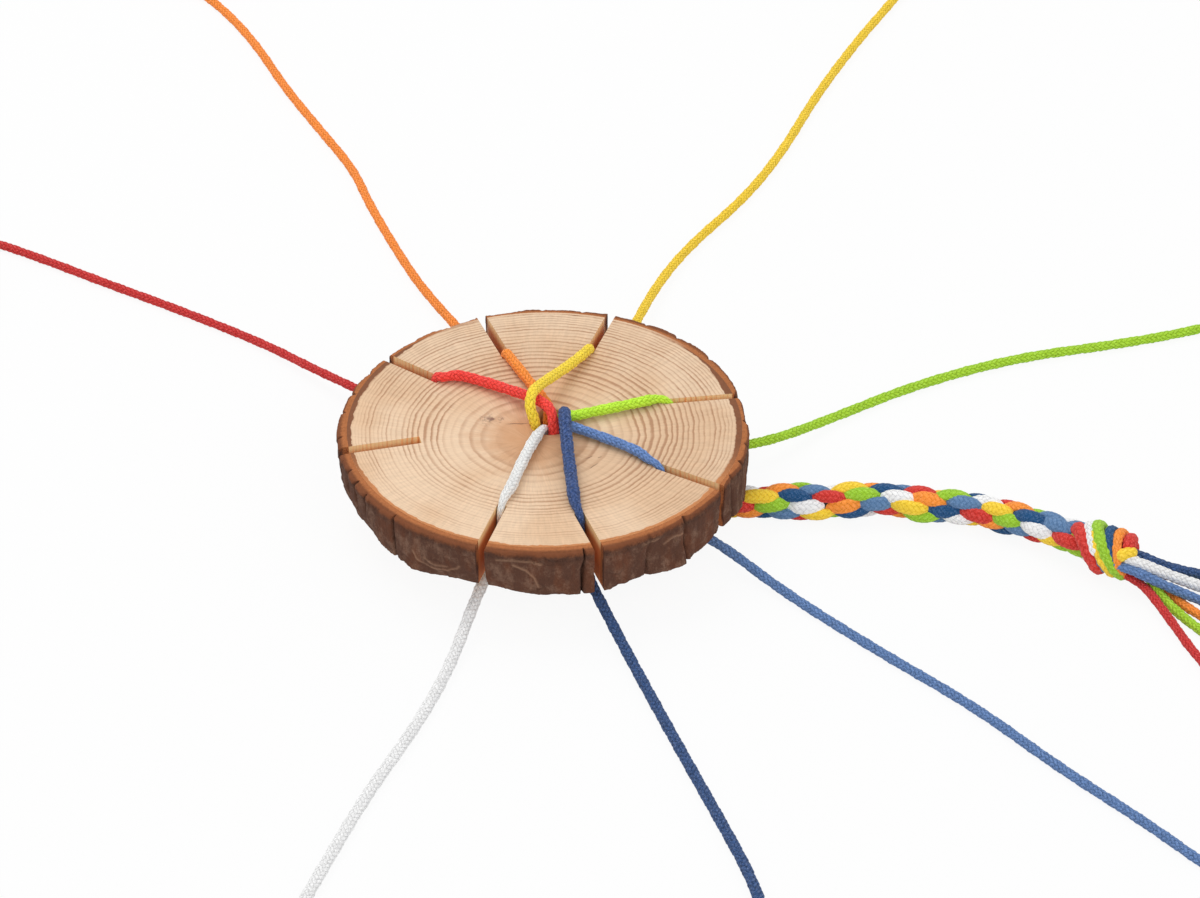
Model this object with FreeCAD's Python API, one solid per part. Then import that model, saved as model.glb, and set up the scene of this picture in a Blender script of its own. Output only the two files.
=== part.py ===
import FreeCAD, Part
import math
import os
import random

# A round braiding disk sawn from a branch, with seven cords braided through its hole.
# Millimetres, +Z up. The origin is the disk's centre, half way through its thickness.
# Bearings are in degrees from +X, anticlockwise seen from above.

os.makedirs("parts", exist_ok=True)
Vector = FreeCAD.Vector
up_axis = Vector(0, 0, 1)

# The slice of wood
disk_diameter = 80.0
disk_thickness = 10.0
bark_thickness = 1.7
wood_centre = (0.4, 0.6)
hole_diameter = 8.5
hole_centre = (1.6, 2.2)

# The saw slots. Each is a straight cut in from the rim: its bearing, how far its middle
# line passes from the disk's centre, how deep it goes in from the rim, and its width.
slots = {
    "empty": {"bearing": 193.9, "offset": -2.2, "depth": 16.3, "width": 2.2},
    "red": {"bearing": 143.8, "offset": -1.0, "depth": 14.1, "width": 2.2},
    "orange": {"bearing": 110.7, "offset": -1.7, "depth": 15.3, "width": 1.9},
    "yellow": {"bearing": 71.3, "offset": -0.3, "depth": 13.1, "width": 1.8},
    "green": {"bearing": 8.0, "offset": 5.6, "depth": 15.2, "width": 1.6},
    "light_blue": {"bearing": -30.2, "offset": 0.7, "depth": 14.9, "width": 1.9},
    "dark_blue": {"bearing": -70.8, "offset": -2.2, "depth": 12.2, "width": 1.9},
    "white": {"bearing": -106.8, "offset": 0.0, "depth": 14.4, "width": 1.9},
}

# The bark: plates parted by fissures, with a worn top edge and an undercut foot. How far
# out a floor or a plate lies is a share of the bark's thickness there.
bark_names = ["front_left", "front", "front_right", "right",
              "back_right", "back", "back_left", "left"]
bark_seed = 7
bark_plate_width = 8.0
bark_plate_spread = 0.35
bark_plate_drop_share = 0.25
bark_plate_crown_share = 0.15
bark_wave_two = 0.45
bark_wave_two_bearing = 50.0
bark_wave_three = 0.45
bark_wave_three_bearing = 57.0
fissure_floor_share = 0.42
fissure_width = 1.1
bark_top_bevel = 0.6
bark_foot_undercut = 1.5
bark_foot_height = 4.5
flaked_plates_share = 0.4
flake_floor_share = 0.45
flake_height = 4.0
flake_width_share = 0.8

# The cords
cord_diameter = 2.2
rest_gap = 0.3
crossing_gap = 0.2
slot_play = 0.15
slot_edge_radius = 2.8
under_edge_radius = 2.2
split_gap = 0.3

# The braid and its knot
braid_diameter = 7.2
braid_recess = 4.5
rise_ring_diameter = 5.8
hole_edge_radius = 1.7
knot_diameter = 11.4
knot_neck_diameter = 7.4
knot_length = 13.0
knot_centre = (108.0, -22.8)
knot_bearing = -30.0
tail_straight = 1.5

# The coils of working length that is put away
coil_middle_diameter = 24.2
coil_turns_across = 2
coil_layers = 2
coil_approach = 9.0
coil_lead = 9.0
coil_corner = 0.9

# Levels that follow from the sizes above
wood_diameter = disk_diameter - 2 * bark_thickness
face = disk_thickness / 2
underside = -disk_thickness / 2
table = underside - rest_gap - braid_diameter
cord_radius = cord_diameter / 2
on_face = cord_radius + rest_gap
over_one = on_face + cord_diameter + crossing_gap
over_two = over_one + cord_diameter + crossing_gap
on_table = cord_radius
under_face = underside - rest_gap - under_edge_radius - table

# Each cord's route. rise: the bearing of its place in the hole, and the level at which it
# leaves the hole. over: points over the hole, each (x, y, height above the face). hinge:
# where the lifted stretch starts. across: points between there and its slot. out: from
# under the disk to its coil, each (x, y, height above the table). coil: the bearing at
# which it runs into its coil, and 1 or -1 for a coil on its left or its right. bundle: its
# place where the tails leave the knot, (across, up). tail: points past the knot.
cords = {
    "red": {
        "rise": (-95.0, over_one),
        "over": [(1.1, 4.3, over_one + 0.3)],
        "hinge": (-5.6, 8.4, on_face + 0.9),
        "across": [(-12.6, 12.6, on_face)],
        "out": [(-25.0, 20.1, under_face), (-31.3, 26.0, 4.8), (-38.9, 32.7, 4.3),
                (-47.4, 41.5, 2.6), (-57.1, 51.7, on_table), (-75.2, 63.8, on_table),
                (-91.3, 73.6, on_table), (-105.6, 82.8, on_table),
                (-119.0, 90.5, on_table)],
        "coil": (200.0, 1),
        "bundle": (-2.0, -1.15),
        "tail": [(118.6, -38.5, 1.9), (123.7, -51.7, on_table),
                 (130.2, -63.6, on_table)],
    },
    "orange": {
        "rise": (119.0, on_face),
        "over": [],
        "hinge": (-2.0, 10.6, on_face),
        "across": [(-4.3, 17.4, on_face)],
        "out": [(-8.8, 29.7, under_face), (-11.3, 38.2, 4.8), (-17.4, 53.6, 3.3),
                (-22.6, 64.8, 1.9), (-28.3, 77.6, on_table), (-37.5, 102.3, on_table),
                (-41.4, 116.2, on_table), (-49.5, 132.2, on_table),
                (-57.7, 148.8, on_table), (-64.6, 165.8, on_table),
                (-71.5, 179.0, on_table), (-79.5, 190.3, on_table)],
        "coil": (170.0, -1),
        "bundle": (0.0, -2.3),
        "tail": [(117.4, -30.3, 2.6), (125.2, -35.6, on_table),
                 (135.0, -43.8, on_table), (143.6, -52.6, on_table)],
    },
    "yellow": {
        "rise": (172.0, over_two),
        "over": [(-0.7, 7.0, over_two)],
        "hinge": (1.6, 13.0, on_face + 2.2),
        "across": [(5.2, 19.8, on_face + 0.3)],
        "out": [(11.0, 31.3, under_face), (14.0, 39.4, 4.8), (17.7, 53.6, 3.5),
                (23.1, 72.3, 1.9), (30.0, 87.6, on_table), (42.0, 105.6, on_table),
                (50.4, 123.5, on_table), (58.4, 146.0, on_table),
                (68.4, 168.6, on_table), (74.4, 180.4, on_table),
                (79.6, 191.0, on_table)],
        "coil": (12.0, 1),
        "bundle": (2.0, -1.15),
        "tail": [(125.4, -29.2, on_table), (136.6, -32.2, on_table),
                 (148.8, -38.6, on_table)],
    },
    "green": {
        "rise": (-1.0, on_face),
        "over": [],
        "hinge": (8.8, 4.1, on_face),
        "across": [(14.6, 6.6, on_face)],
        "out": [(29.6, 9.9, under_face), (38.2, 11.3, 4.8), (46.5, 15.9, 3.6),
                (57.4, 26.0, on_table), (74.6, 37.4, on_table), (95.3, 46.8, on_table),
                (116.5, 51.6, on_table), (130.0, 55.6, on_table),
                (140.2, 59.8, on_table)],
        "coil": (-20.0, -1),
        "bundle": (-2.0, 1.15),
        "tail": [(116.7, -31.5, 5.9), (124.8, -39.6, on_table),
                 (133.4, -49.0, on_table), (139.5, -59.4, on_table)],
    },
    "light_blue": {
        "rise": (-48.0, on_face),
        "over": [],
        "hinge": (7.8, -2.6, on_face),
        "across": [(14.2, -6.6, on_face)],
        "out": [(27.3, -15.0, under_face), (34.2, -19.4, 4.4), (46.5, -30.8, on_table),
                (64.3, -49.3, on_table), (80.7, -65.0, on_table),
                (95.2, -82.7, on_table), (110.0, -98.4, on_table),
                (122.0, -113.0, on_table)],
        "coil": (-8.0, 1),
        "bundle": (0.0, 0.0),
        "tail": [(118.5, -28.5, 5.0), (125.5, -32.3, on_table),
                 (136.0, -39.2, on_table), (145.6, -47.6, on_table)],
    },
    "dark_blue": {
        "rise": (46.0, over_one),
        "over": [(4.1, -3.4, over_one)],
        "hinge": (5.0, -8.2, on_face + 0.8),
        "across": [(6.3, -17.4, on_face)],
        "out": [(8.9, -32.9, under_face), (12.2, -41.2, 3.2), (17.7, -54.0, on_table),
                (26.9, -80.4, on_table), (33.2, -98.4, on_table),
                (37.8, -112.0, on_table), (40.6, -124.5, on_table)],
        "coil": (-20.0, -1),
        "bundle": (2.0, 1.15),
        "tail": [(125.7, -27.6, 3.6), (136.8, -28.6, on_table),
                 (149.5, -33.5, on_table)],
    },
    "white": {
        "rise": (-142.0, on_face),
        "over": [],
        "hinge": (-2.2, -4.8, on_face),
        "across": [(-4.6, -14.0, on_face)],
        "out": [(-9.3, -30.3, under_face), (-12.4, -38.6, 3.4), (-17.0, -53.4, on_table),
                (-22.6, -70.2, on_table), (-31.2, -90.0, on_table),
                (-38.0, -109.6, on_table), (-43.0, -124.5, on_table)],
        "coil": (-160.0, 1),
        "bundle": (0.0, 2.3),
        "tail": [(118.6, -28.3, 7.7), (125.4, -31.2, 3.8), (136.8, -35.6, on_table),
                 (147.6, -43.0, on_table)],
    },
}

# The braid from under the hole to the knot, each (x, y, height above the table)
braid_level = braid_diameter / 2
braid_route = [(1.6, 2.2, braid_level + 2.6), (4.2, 1.7, braid_level),
               (10.4, 0.6, braid_level), (22.3, -2.5, braid_level),
               (39.7, -5.1, braid_level), (56.0, -4.3, braid_level),
               (72.0, -5.4, braid_level), (87.0, -8.2, braid_level),
               (96.2, -13.6, braid_level + 1.0)]


def direction(bearing):
    """The level unit vector along a bearing."""
    return Vector(math.cos(math.radians(bearing)), math.sin(math.radians(bearing)), 0)


def side_of(bearing):
    """The level unit vector to the left of a bearing."""
    return direction(bearing + 90)


def save(shape, node):
    """Write one node's STEP file."""
    shape.exportStep("parts/" + node + ".step")


def slot_root(slot):
    """How far out along its bearing a slot's inner end is."""
    return disk_diameter / 2 - slot["depth"]


def slot_box(slot, low, high, play=0):
    """A saw cut from its inner end out past the rim, between two levels, less some play."""
    width = slot["width"] - 2 * play
    corner = Vector(slot_root(slot) + play, slot["offset"] - width / 2, low)
    box = Part.makeBox(disk_diameter, width, high - low, corner)
    box.rotate(Vector(0, 0, 0), up_axis, slot["bearing"])
    return box


def slot_seat(slot):
    """The plan position of a cord that is pulled up to the slot's inner end."""
    along = slot_root(slot) + rest_gap + cord_radius
    return direction(slot["bearing"]) * along + side_of(slot["bearing"]) * slot["offset"]


def cut_slots(shape):
    """Saw all eight slots through a shape."""
    cuts = [slot_box(s, underside - 1, face + 1) for s in slots.values()]
    return shape.cut(cuts)


def wood_disk():
    """The slice of wood under its bark."""
    centre = Vector(wood_centre[0], wood_centre[1], underside)
    wood = Part.makeCylinder(wood_diameter / 2, disk_thickness, centre)
    hole_foot = Vector(hole_centre[0], hole_centre[1], underside - 1)
    wood = wood.cut(Part.makeCylinder(hole_diameter / 2, disk_thickness + 2, hole_foot))
    return cut_slots(wood)


def wood_radius(bearing):
    """How far out the wood reaches along a bearing from the disk's centre."""
    x, y = wood_centre
    ahead, left = direction(bearing), side_of(bearing)
    across = x * left.x + y * left.y
    return x * ahead.x + y * ahead.y + math.sqrt(wood_diameter ** 2 / 4 - across ** 2)


def rim_radius(bearing):
    """How far out the bark reaches along a bearing: a branch is never quite round."""
    two = bark_wave_two * math.cos(math.radians(2 * (bearing - bark_wave_two_bearing)))
    three = bark_wave_three * math.cos(math.radians(3 * (bearing - bark_wave_three_bearing)))
    return disk_diameter / 2 + two + three


def bark_radius(bearing, share):
    """The radius that lies a share of the way out through the bark."""
    wood = wood_radius(bearing)
    return wood + (rim_radius(bearing) - wood) * share


def bark_plates():
    """Each plate: its two bearings, the share of the bark's thickness it has, if it has flaked."""
    rng = random.Random(bark_seed)
    count = round(math.pi * disk_diameter / bark_plate_width)
    widths = [1 + rng.uniform(-bark_plate_spread, bark_plate_spread) for _ in range(count)]
    plates, start = [], 0.0
    for width in widths:
        end = start + 360 * width / sum(widths)
        share = 1 - rng.uniform(0, bark_plate_drop_share)
        plates.append((start, end, share, rng.random() < flaked_plates_share))
        start = end
    return plates


def bark_outline():
    """The outline of the bark seen from above, each plate crowned and parted from the next."""
    half_fissure = math.degrees(fissure_width / disk_diameter)
    points = []
    for start, end, share, _ in bark_plates():
        points.append(direction(start) * bark_radius(start, fissure_floor_share))
        first, last = start + half_fissure, end - half_fissure
        for third in range(4):
            bearing = first + (last - first) * third / 3
            sink = bark_plate_crown_share if third in (0, 3) else 0
            points.append(direction(bearing) * bark_radius(bearing, share - sink))
    return points


def bark_ring():
    """The whole ring of bark, before the slots are sawn."""
    points = [p + Vector(0, 0, underside) for p in bark_outline()]
    outline = Part.makePolygon(points + points[:1])
    ring = Part.Face(outline).extrude(Vector(0, 0, disk_thickness))
    outer = disk_diameter / 2 + bark_wave_two + bark_wave_three
    profile = Part.makePolygon([
        Vector(0, 0, underside),
        Vector(outer - bark_foot_undercut, 0, underside),
        Vector(outer, 0, underside + bark_foot_height),
        Vector(outer, 0, face - bark_top_bevel),
        Vector(outer - bark_top_bevel, 0, face),
        Vector(0, 0, face),
        Vector(0, 0, underside),
    ])
    ring = ring.common(Part.Face(profile).revolve(Vector(0, 0, 0), up_axis, 360))
    centre = Vector(wood_centre[0], wood_centre[1], underside)
    return ring.cut(Part.makeCylinder(wood_diameter / 2, disk_thickness, centre))


def flaked(ring):
    """Break the lower half off some plates."""
    steps = []
    for start, end, _, has_flaked in bark_plates():
        if has_flaked:
            middle, half = (start + end) / 2, (end - start) / 2
            floor = bark_radius(middle, flake_floor_share)
            width = 2 * floor * math.sin(math.radians(half * flake_width_share))
            corner = Vector(floor, -width / 2, underside)
            step = Part.makeBox(disk_diameter, width, flake_height, corner)
            step.rotate(Vector(0, 0, 0), up_axis, middle)
            steps.append(step)
    return ring.cut(steps)


def bark_segments():
    """The eight pieces that the slots leave of the bark, by name, going round from the front left."""
    pieces = cut_slots(flaked(bark_ring())).Solids
    first = slots["empty"]["bearing"]

    def turn(piece):
        centre = piece.CenterOfMass
        return (math.degrees(math.atan2(centre.y, centre.x)) - first) % 360

    return dict(zip(bark_names, sorted(pieces, key=turn)))


def rounded_path(points, folds):
    """A wire of straight runs joined by tangent arcs, as large as the runs allow, or as folds says."""
    edges, radii, at = [], [], points[0]
    for n in range(1, len(points) - 1):
        before, corner, after = points[n - 1], points[n], points[n + 1]
        back, on = before - corner, after - corner
        half_turn = (math.pi - back.getAngle(on)) / 2
        shorter = min(back.Length, on.Length)
        radius = folds.get(n, 0.45 * shorter / math.tan(half_turn))
        reach = radius * math.tan(half_turn)
        back.normalize()
        on.normalize()
        first, last = corner + back * reach, corner + on * reach
        inward = (back + on).normalize()
        middle = corner + inward * (radius / math.cos(half_turn) - radius)
        if (first - at).Length > 1e-6:
            edges.append(Part.LineSegment(at, first).toShape())
        edges.append(Part.Arc(first, middle, last).toShape())
        radii.append(radius)
        at = last
    edges.append(Part.LineSegment(at, points[-1]).toShape())
    return Part.Wire(edges), radii


def tube(name, points, diameter, folds=None):
    """A round tube along a route, with its radii and its volume against section times length."""
    path, radii = rounded_path(points, folds or {})
    start = points[1] - points[0]
    circle = Part.Wire(Part.makeCircle(diameter / 2, points[0], start))
    solid = path.makePipeShell([circle], True, False)
    share = solid.Volume / (math.pi * diameter ** 2 / 4 * path.Length)
    print("%-18s length %6.1f  volume share %.4f  radii %s" % (
        name, path.Length, share, " ".join("%.1f" % r for r in radii)))
    return solid


def above_face(point):
    """A route point given by its height above the disk's face."""
    return Vector(point[0], point[1], face + point[2])


def above_table(point):
    """A route point given by its height above the table."""
    return Vector(point[0], point[1], table + point[2])


def cord_rise(name, cord):
    """Up out of the braid inside the hole, and over it to the hinge."""
    bearing, level = cord["rise"]
    x, y = hole_centre
    place = Vector(x, y, 0) + direction(bearing) * (rise_ring_diameter / 2)
    foot = place + up_axis * (face - braid_recess + split_gap)
    fold = place + up_axis * (face + level)
    points = [foot, fold] + [above_face(p) for p in cord["over"]]
    hinge = above_face(cord["hinge"])
    to_hinge = hinge - points[-1]
    to_hinge.normalize()
    points.append(hinge - to_hinge * (cord_radius + split_gap))
    return tube(name + "_rise", points, cord_diameter, {1: hole_edge_radius})


def cord_lift(name, cord):
    """Over the face and down through the slot, pinched between the slot's walls."""
    slot = slots[name]
    seat = slot_seat(slot)
    bend = Vector(seat.x, seat.y, face + on_face)
    foot = Vector(seat.x, seat.y, underside + split_gap / 2)
    hinge = above_face(cord["hinge"])
    points = [hinge] + [above_face(p) for p in cord["across"]] + [bend, foot]
    folds = {len(points) - 2: slot_edge_radius}
    solid = tube(name + "_lift", points, cord_diameter, folds)
    solid = solid.fuse(Part.makeSphere(cord_radius, hinge)).removeSplitter()
    room = slot_box(slot, underside - 1, face + slot_play, slot_play)
    over = Part.makeBox(disk_diameter, disk_diameter, disk_thickness,
                        Vector(-disk_diameter / 2, -disk_diameter / 2, face + slot_play))
    return solid.common(room.fuse(over))


def coil_outer_turn():
    """The radius at the middle of the outermost turn."""
    return coil_middle_diameter / 2 + cord_diameter * (coil_turns_across - 1) / 2


def coil_entry(cord):
    """Where the cord meets the coil's lead, and where that lead touches the outermost turn."""
    bearing, _ = cord["coil"]
    last = above_table(cord["out"][-1])
    ahead = direction(bearing)
    return last + ahead * coil_approach, last + ahead * (coil_approach + coil_lead)


def cord_run(name, cord):
    """From under the slot, under the disk and along the table to the coil."""
    seat = slot_seat(slots[name])
    start = Vector(seat.x, seat.y, underside - split_gap / 2)
    low = Vector(seat.x, seat.y, table + under_face)
    end, _ = coil_entry(cord)
    points = [start, low] + [above_table(p) for p in cord["out"]] + [end]
    return tube(name + "_run", points, cord_diameter, {1: under_edge_radius})


def cord_coil(cord):
    """The outer shape of the wound length, with the lead that runs into it."""
    bearing, way = cord["coil"]
    start, touch = coil_entry(cord)
    centre = touch + side_of(bearing) * (way * coil_outer_turn())
    foot = Vector(centre.x, centre.y, table)
    half_width = cord_diameter * coil_turns_across / 2
    outer = coil_middle_diameter / 2 + half_width
    inner = coil_middle_diameter / 2 - half_width
    height = cord_diameter * coil_layers
    ring = Part.makeCylinder(outer, height, foot).cut(Part.makeCylinder(inner, height, foot))
    rims = [e for e in ring.Edges if isinstance(e.Curve, Part.Circle)]
    ring = ring.makeFillet(coil_corner, rims)
    lead = Part.makeCylinder(cord_radius, coil_lead, start, direction(bearing))
    return ring.fuse(lead).removeSplitter()


def knot():
    """The knot's outer shape: a barrel with a narrow neck at each end."""
    half, neck = knot_length / 2, knot_neck_diameter / 2
    crown = Part.Arc(Vector(-half, neck, 0), Vector(0, knot_diameter / 2, 0),
                     Vector(half, neck, 0)).toShape()
    ends = Part.makePolygon([Vector(half, neck, 0), Vector(half, 0, 0),
                             Vector(-half, 0, 0), Vector(-half, neck, 0)])
    profile = Part.Face(Part.Wire([crown] + ends.Edges))
    barrel = profile.revolve(Vector(0, 0, 0), Vector(1, 0, 0), 360)
    barrel.rotate(Vector(0, 0, 0), up_axis, knot_bearing)
    barrel.translate(knot_middle())
    return barrel


def knot_middle():
    """The knot lies on the table."""
    return Vector(knot_centre[0], knot_centre[1], table + knot_diameter / 2)


def braid(knot_solid):
    """The finished braid: down the hole, out under the disk and along the table to the knot."""
    x, y = hole_centre
    top = Vector(x, y, face - braid_recess)
    points = [top] + [above_table(p) for p in braid_route] + [knot_middle()]
    return tube("braid", points, braid_diameter).cut(knot_solid)


def cord_tail(name, cord, knot_solid):
    """The loose end past the knot."""
    across, up = cord["bundle"]
    ahead, left = direction(knot_bearing), side_of(knot_bearing)
    bundle = knot_middle() + left * across + up_axis * up
    leaving = bundle + ahead * (knot_length / 2 + tail_straight)
    route = [bundle, leaving] + [above_table(p) for p in cord["tail"]]
    return tube(name + "_tail", route, cord_diameter).cut(knot_solid)


def main():
    save(wood_disk(), "wood_disk")
    for name, piece in bark_segments().items():
        save(piece, "bark_" + name)
    for name, cord in cords.items():
        save(cord_rise(name, cord), name + "_rise")
        save(cord_lift(name, cord), name + "_lift")
        save(cord_run(name, cord), name + "_run")
        save(cord_coil(cord), name + "_coil")
    knot_solid = knot()
    save(knot_solid, "knot")
    save(braid(knot_solid), "braid")
    for name, cord in cords.items():
        save(cord_tail(name, cord, knot_solid), name + "_tail")


main()
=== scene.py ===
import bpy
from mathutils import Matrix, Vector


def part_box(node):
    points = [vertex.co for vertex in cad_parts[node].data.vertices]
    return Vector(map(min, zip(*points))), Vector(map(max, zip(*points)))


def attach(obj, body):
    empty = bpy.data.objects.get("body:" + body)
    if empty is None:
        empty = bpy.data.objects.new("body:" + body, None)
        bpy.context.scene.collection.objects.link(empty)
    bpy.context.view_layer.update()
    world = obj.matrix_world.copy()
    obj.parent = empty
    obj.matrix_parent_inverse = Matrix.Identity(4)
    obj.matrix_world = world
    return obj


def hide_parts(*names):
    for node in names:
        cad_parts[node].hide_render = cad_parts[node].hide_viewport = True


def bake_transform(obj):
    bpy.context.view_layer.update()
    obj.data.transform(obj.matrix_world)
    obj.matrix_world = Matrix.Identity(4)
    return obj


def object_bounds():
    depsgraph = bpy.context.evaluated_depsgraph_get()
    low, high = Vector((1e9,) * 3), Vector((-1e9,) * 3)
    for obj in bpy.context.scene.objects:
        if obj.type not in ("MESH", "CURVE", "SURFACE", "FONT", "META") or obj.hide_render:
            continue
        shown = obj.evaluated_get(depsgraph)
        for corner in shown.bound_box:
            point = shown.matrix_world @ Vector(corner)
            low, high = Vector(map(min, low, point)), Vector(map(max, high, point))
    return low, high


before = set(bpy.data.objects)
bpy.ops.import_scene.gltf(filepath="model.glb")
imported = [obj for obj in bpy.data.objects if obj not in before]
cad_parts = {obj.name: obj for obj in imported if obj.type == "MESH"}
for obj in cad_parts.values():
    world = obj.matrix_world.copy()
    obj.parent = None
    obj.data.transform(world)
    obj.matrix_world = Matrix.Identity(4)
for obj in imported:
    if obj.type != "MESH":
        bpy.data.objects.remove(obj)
cadBox = [list(corner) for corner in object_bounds()]

import math

import bpy
import numpy as np
from mathutils import Vector

# A braiding disk sawn from a branch, with seven cotton cords on it. Sizes are in millimetres
# until a mesh is made; x is to the right, y away from the user, z up from the disk's middle.
mm = 0.001

level = {
    "face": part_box("wood_disk")[1].z / mm,
    "underside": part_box("wood_disk")[0].z / mm,
    "table": cadBox[0][2] / mm,
}


def linear(rgb):
    # screen colour, 0 to 255, as the linear colour that a shader works in
    values = [c / 255 for c in rgb]
    return [c / 12.92 if c <= 0.04045 else ((c + 0.055) / 1.055) ** 2.4 for c in values] + [1.0]


# Camera, light and floor
viewpoint = {
    "target": (11.14, -6.61),  # where the photograph's middle meets the disk's face
    "distance": 1000.0,
    "elevation": 36.37,
    "focalPixels": 5190.0,
    "imageWidth": 1200.0,
    "sensor": 36.0,
    "clip": (0.05, 20),  # metres
}

studio = {
    "skyStrength": 0.80,
    "keyEnergy": 6.0, "keySize": 0.9, "keyFrom": (-0.45, 0.55, 1.1),
    "fillEnergy": 4.5, "fillSize": 1.2, "fillFrom": (0.5, -1.0, 0.9),
    "floorSize": 6.0, "floorColour": (242, 242, 242),
    "floorGlow": 0.92,  # how much of the floor's look to the camera is plain white
}


def placeCamera():
    v = viewpoint
    rise = math.radians(v["elevation"])
    x, y = v["target"]
    data = bpy.data.cameras.new("camera")
    data.sensor_fit = "HORIZONTAL"
    data.sensor_width = v["sensor"]
    data.lens = v["focalPixels"] / v["imageWidth"] * v["sensor"]
    data.clip_start, data.clip_end = v["clip"]
    camera = bpy.data.objects.new("camera", data)
    bpy.context.scene.collection.objects.link(camera)
    camera.location = Vector((x, y - v["distance"] * math.cos(rise),
                              level["face"] + v["distance"] * math.sin(rise))) * mm
    camera.rotation_euler = (math.pi / 2 - rise, 0, 0)
    bpy.context.scene.camera = camera


def areaLight(name, energy, size, place):
    data = bpy.data.lights.new(name, "AREA")
    data.energy, data.size = energy, size
    lamp = bpy.data.objects.new(name, data)
    bpy.context.scene.collection.objects.link(lamp)
    lamp.location = place
    lamp.rotation_euler = (-Vector(place)).to_track_quat("-Z", "Y").to_euler()


# Shader maths. A value is one output socket, and + - * / on values add Math nodes.
class Value:
    def __init__(self, shader, socket):
        self.shader, self.socket = shader, socket

    def math(self, operation, *others, clamp=False):
        return self.shader.node("ShaderNodeMath", {"operation": operation, "use_clamp": clamp},
                                dict(enumerate((self,) + others)))

    def __add__(self, other): return self.math("ADD", other)
    def __radd__(self, other): return self.math("ADD", other)
    def __mul__(self, other): return self.math("MULTIPLY", other)
    def __rmul__(self, other): return self.math("MULTIPLY", other)
    def __sub__(self, other): return self.math("SUBTRACT", other)
    def __rsub__(self, other): return (self * -1) + other
    def __truediv__(self, other): return self.math("DIVIDE", other)

    def power(self, exponent): return self.math("POWER", exponent)
    def root(self): return self.math("SQRT")
    def wave(self): return self.math("SINE")
    def part(self): return self.math("FRACT")
    def above(self, edge): return self.math("GREATER_THAN", edge)
    def most(self, other): return self.math("MAXIMUM", other)
    def clamped(self): return self.math("ADD", 0.0, clamp=True)
    def size(self): return self.math("ABSOLUTE")

    def smooth(self, low, high):
        # 0 below low, 1 above high, and a soft step between them
        return self.shader.node("ShaderNodeMapRange", {"interpolation_type": "SMOOTHSTEP"}, {
            "Value": self, "From Min": low, "From Max": high, "To Min": 0.0, "To Max": 1.0})


class Shader:
    def __init__(self, name):
        self.material = bpy.data.materials.new(name)
        self.material.use_nodes = True
        self.tree = self.material.node_tree
        self.tree.nodes.clear()

    def node(self, kind, settings=None, sockets=None, output=0):
        made = self.tree.nodes.new(kind)
        for key, value in (settings or {}).items():
            setattr(made, key, value)
        for key, value in (sockets or {}).items():
            if isinstance(value, Value):
                self.tree.links.new(value.socket, made.inputs[key])
            else:
                made.inputs[key].default_value = value
        return Value(self, made.outputs[output]) if made.outputs else None

    def mix(self, a, b, factor):
        # two colours
        return self.node("ShaderNodeMix", {"data_type": "RGBA"}, {0: factor, 6: a, 7: b}, 2)

    def tint(self, colour, value):
        # a colour made darker or lighter by a value
        return self.node("ShaderNodeVectorMath", {"operation": "SCALE"}, {
            0: colour, "Scale": value})

    def place(self, scale=(1, 1, 1), offset=(0, 0, 0)):
        # the object's own coordinates in millimetres
        where = self.node("ShaderNodeTexCoord", output=3)
        return self.node("ShaderNodeMapping", {"vector_type": "POINT"}, {
            "Vector": where, "Location": offset, "Scale": [s / mm for s in scale]})

    def parts(self, vector, *which):
        # the x, y or z of a vector, each a value
        return [self.node("ShaderNodeSeparateXYZ", None, {0: vector}, n) for n in which]

    def plane(self, a, b):
        # a vector from two values
        return self.node("ShaderNodeCombineXYZ", None, {0: a, 1: b})

    def noise(self, vector, scale, detail=2.0, roughness=0.5, dimensions="3D"):
        return self.node("ShaderNodeTexNoise", {"noise_dimensions": dimensions}, {
            "Vector": vector, "Scale": scale, "Detail": detail, "Roughness": roughness})

    def attribute(self, name, output=2):
        return self.node("ShaderNodeAttribute", {"attribute_name": name}, output=output)

    def relief(self, height, depth):
        # a normal from a height, depth in millimetres
        return self.node("ShaderNodeBump", None, {
            "Height": height, "Distance": depth * mm, "Strength": 1.0})

    def finish(self, sockets, constants):
        # the surface, from links for what varies and plain numbers for what doesn't
        surface = self.node("ShaderNodeBsdfPrincipled", None, {**constants, **sockets})
        self.node("ShaderNodeOutputMaterial", None, {"Surface": surface})
        return self.material


def floorMaterial():
    shader = Shader("paper")
    paper = shader.node("ShaderNodeBsdfDiffuse", None, {"Color": linear(studio["floorColour"])})
    glow = shader.node("ShaderNodeEmission", None, {"Color": (1, 1, 1, 1), "Strength": 1.0})
    # whether the camera sees it, by itself, in something shiny or through something clear
    seen, mirrored, through = (shader.node("ShaderNodeLightPath", output=n) for n in (0, 3, 6))
    share = seen.most(mirrored).most(through) * studio["floorGlow"]
    surface = shader.node("ShaderNodeMixShader", None, {0: share, 1: paper, 2: glow})
    shader.node("ShaderNodeOutputMaterial", None, {"Surface": surface})
    return shader.material


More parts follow.
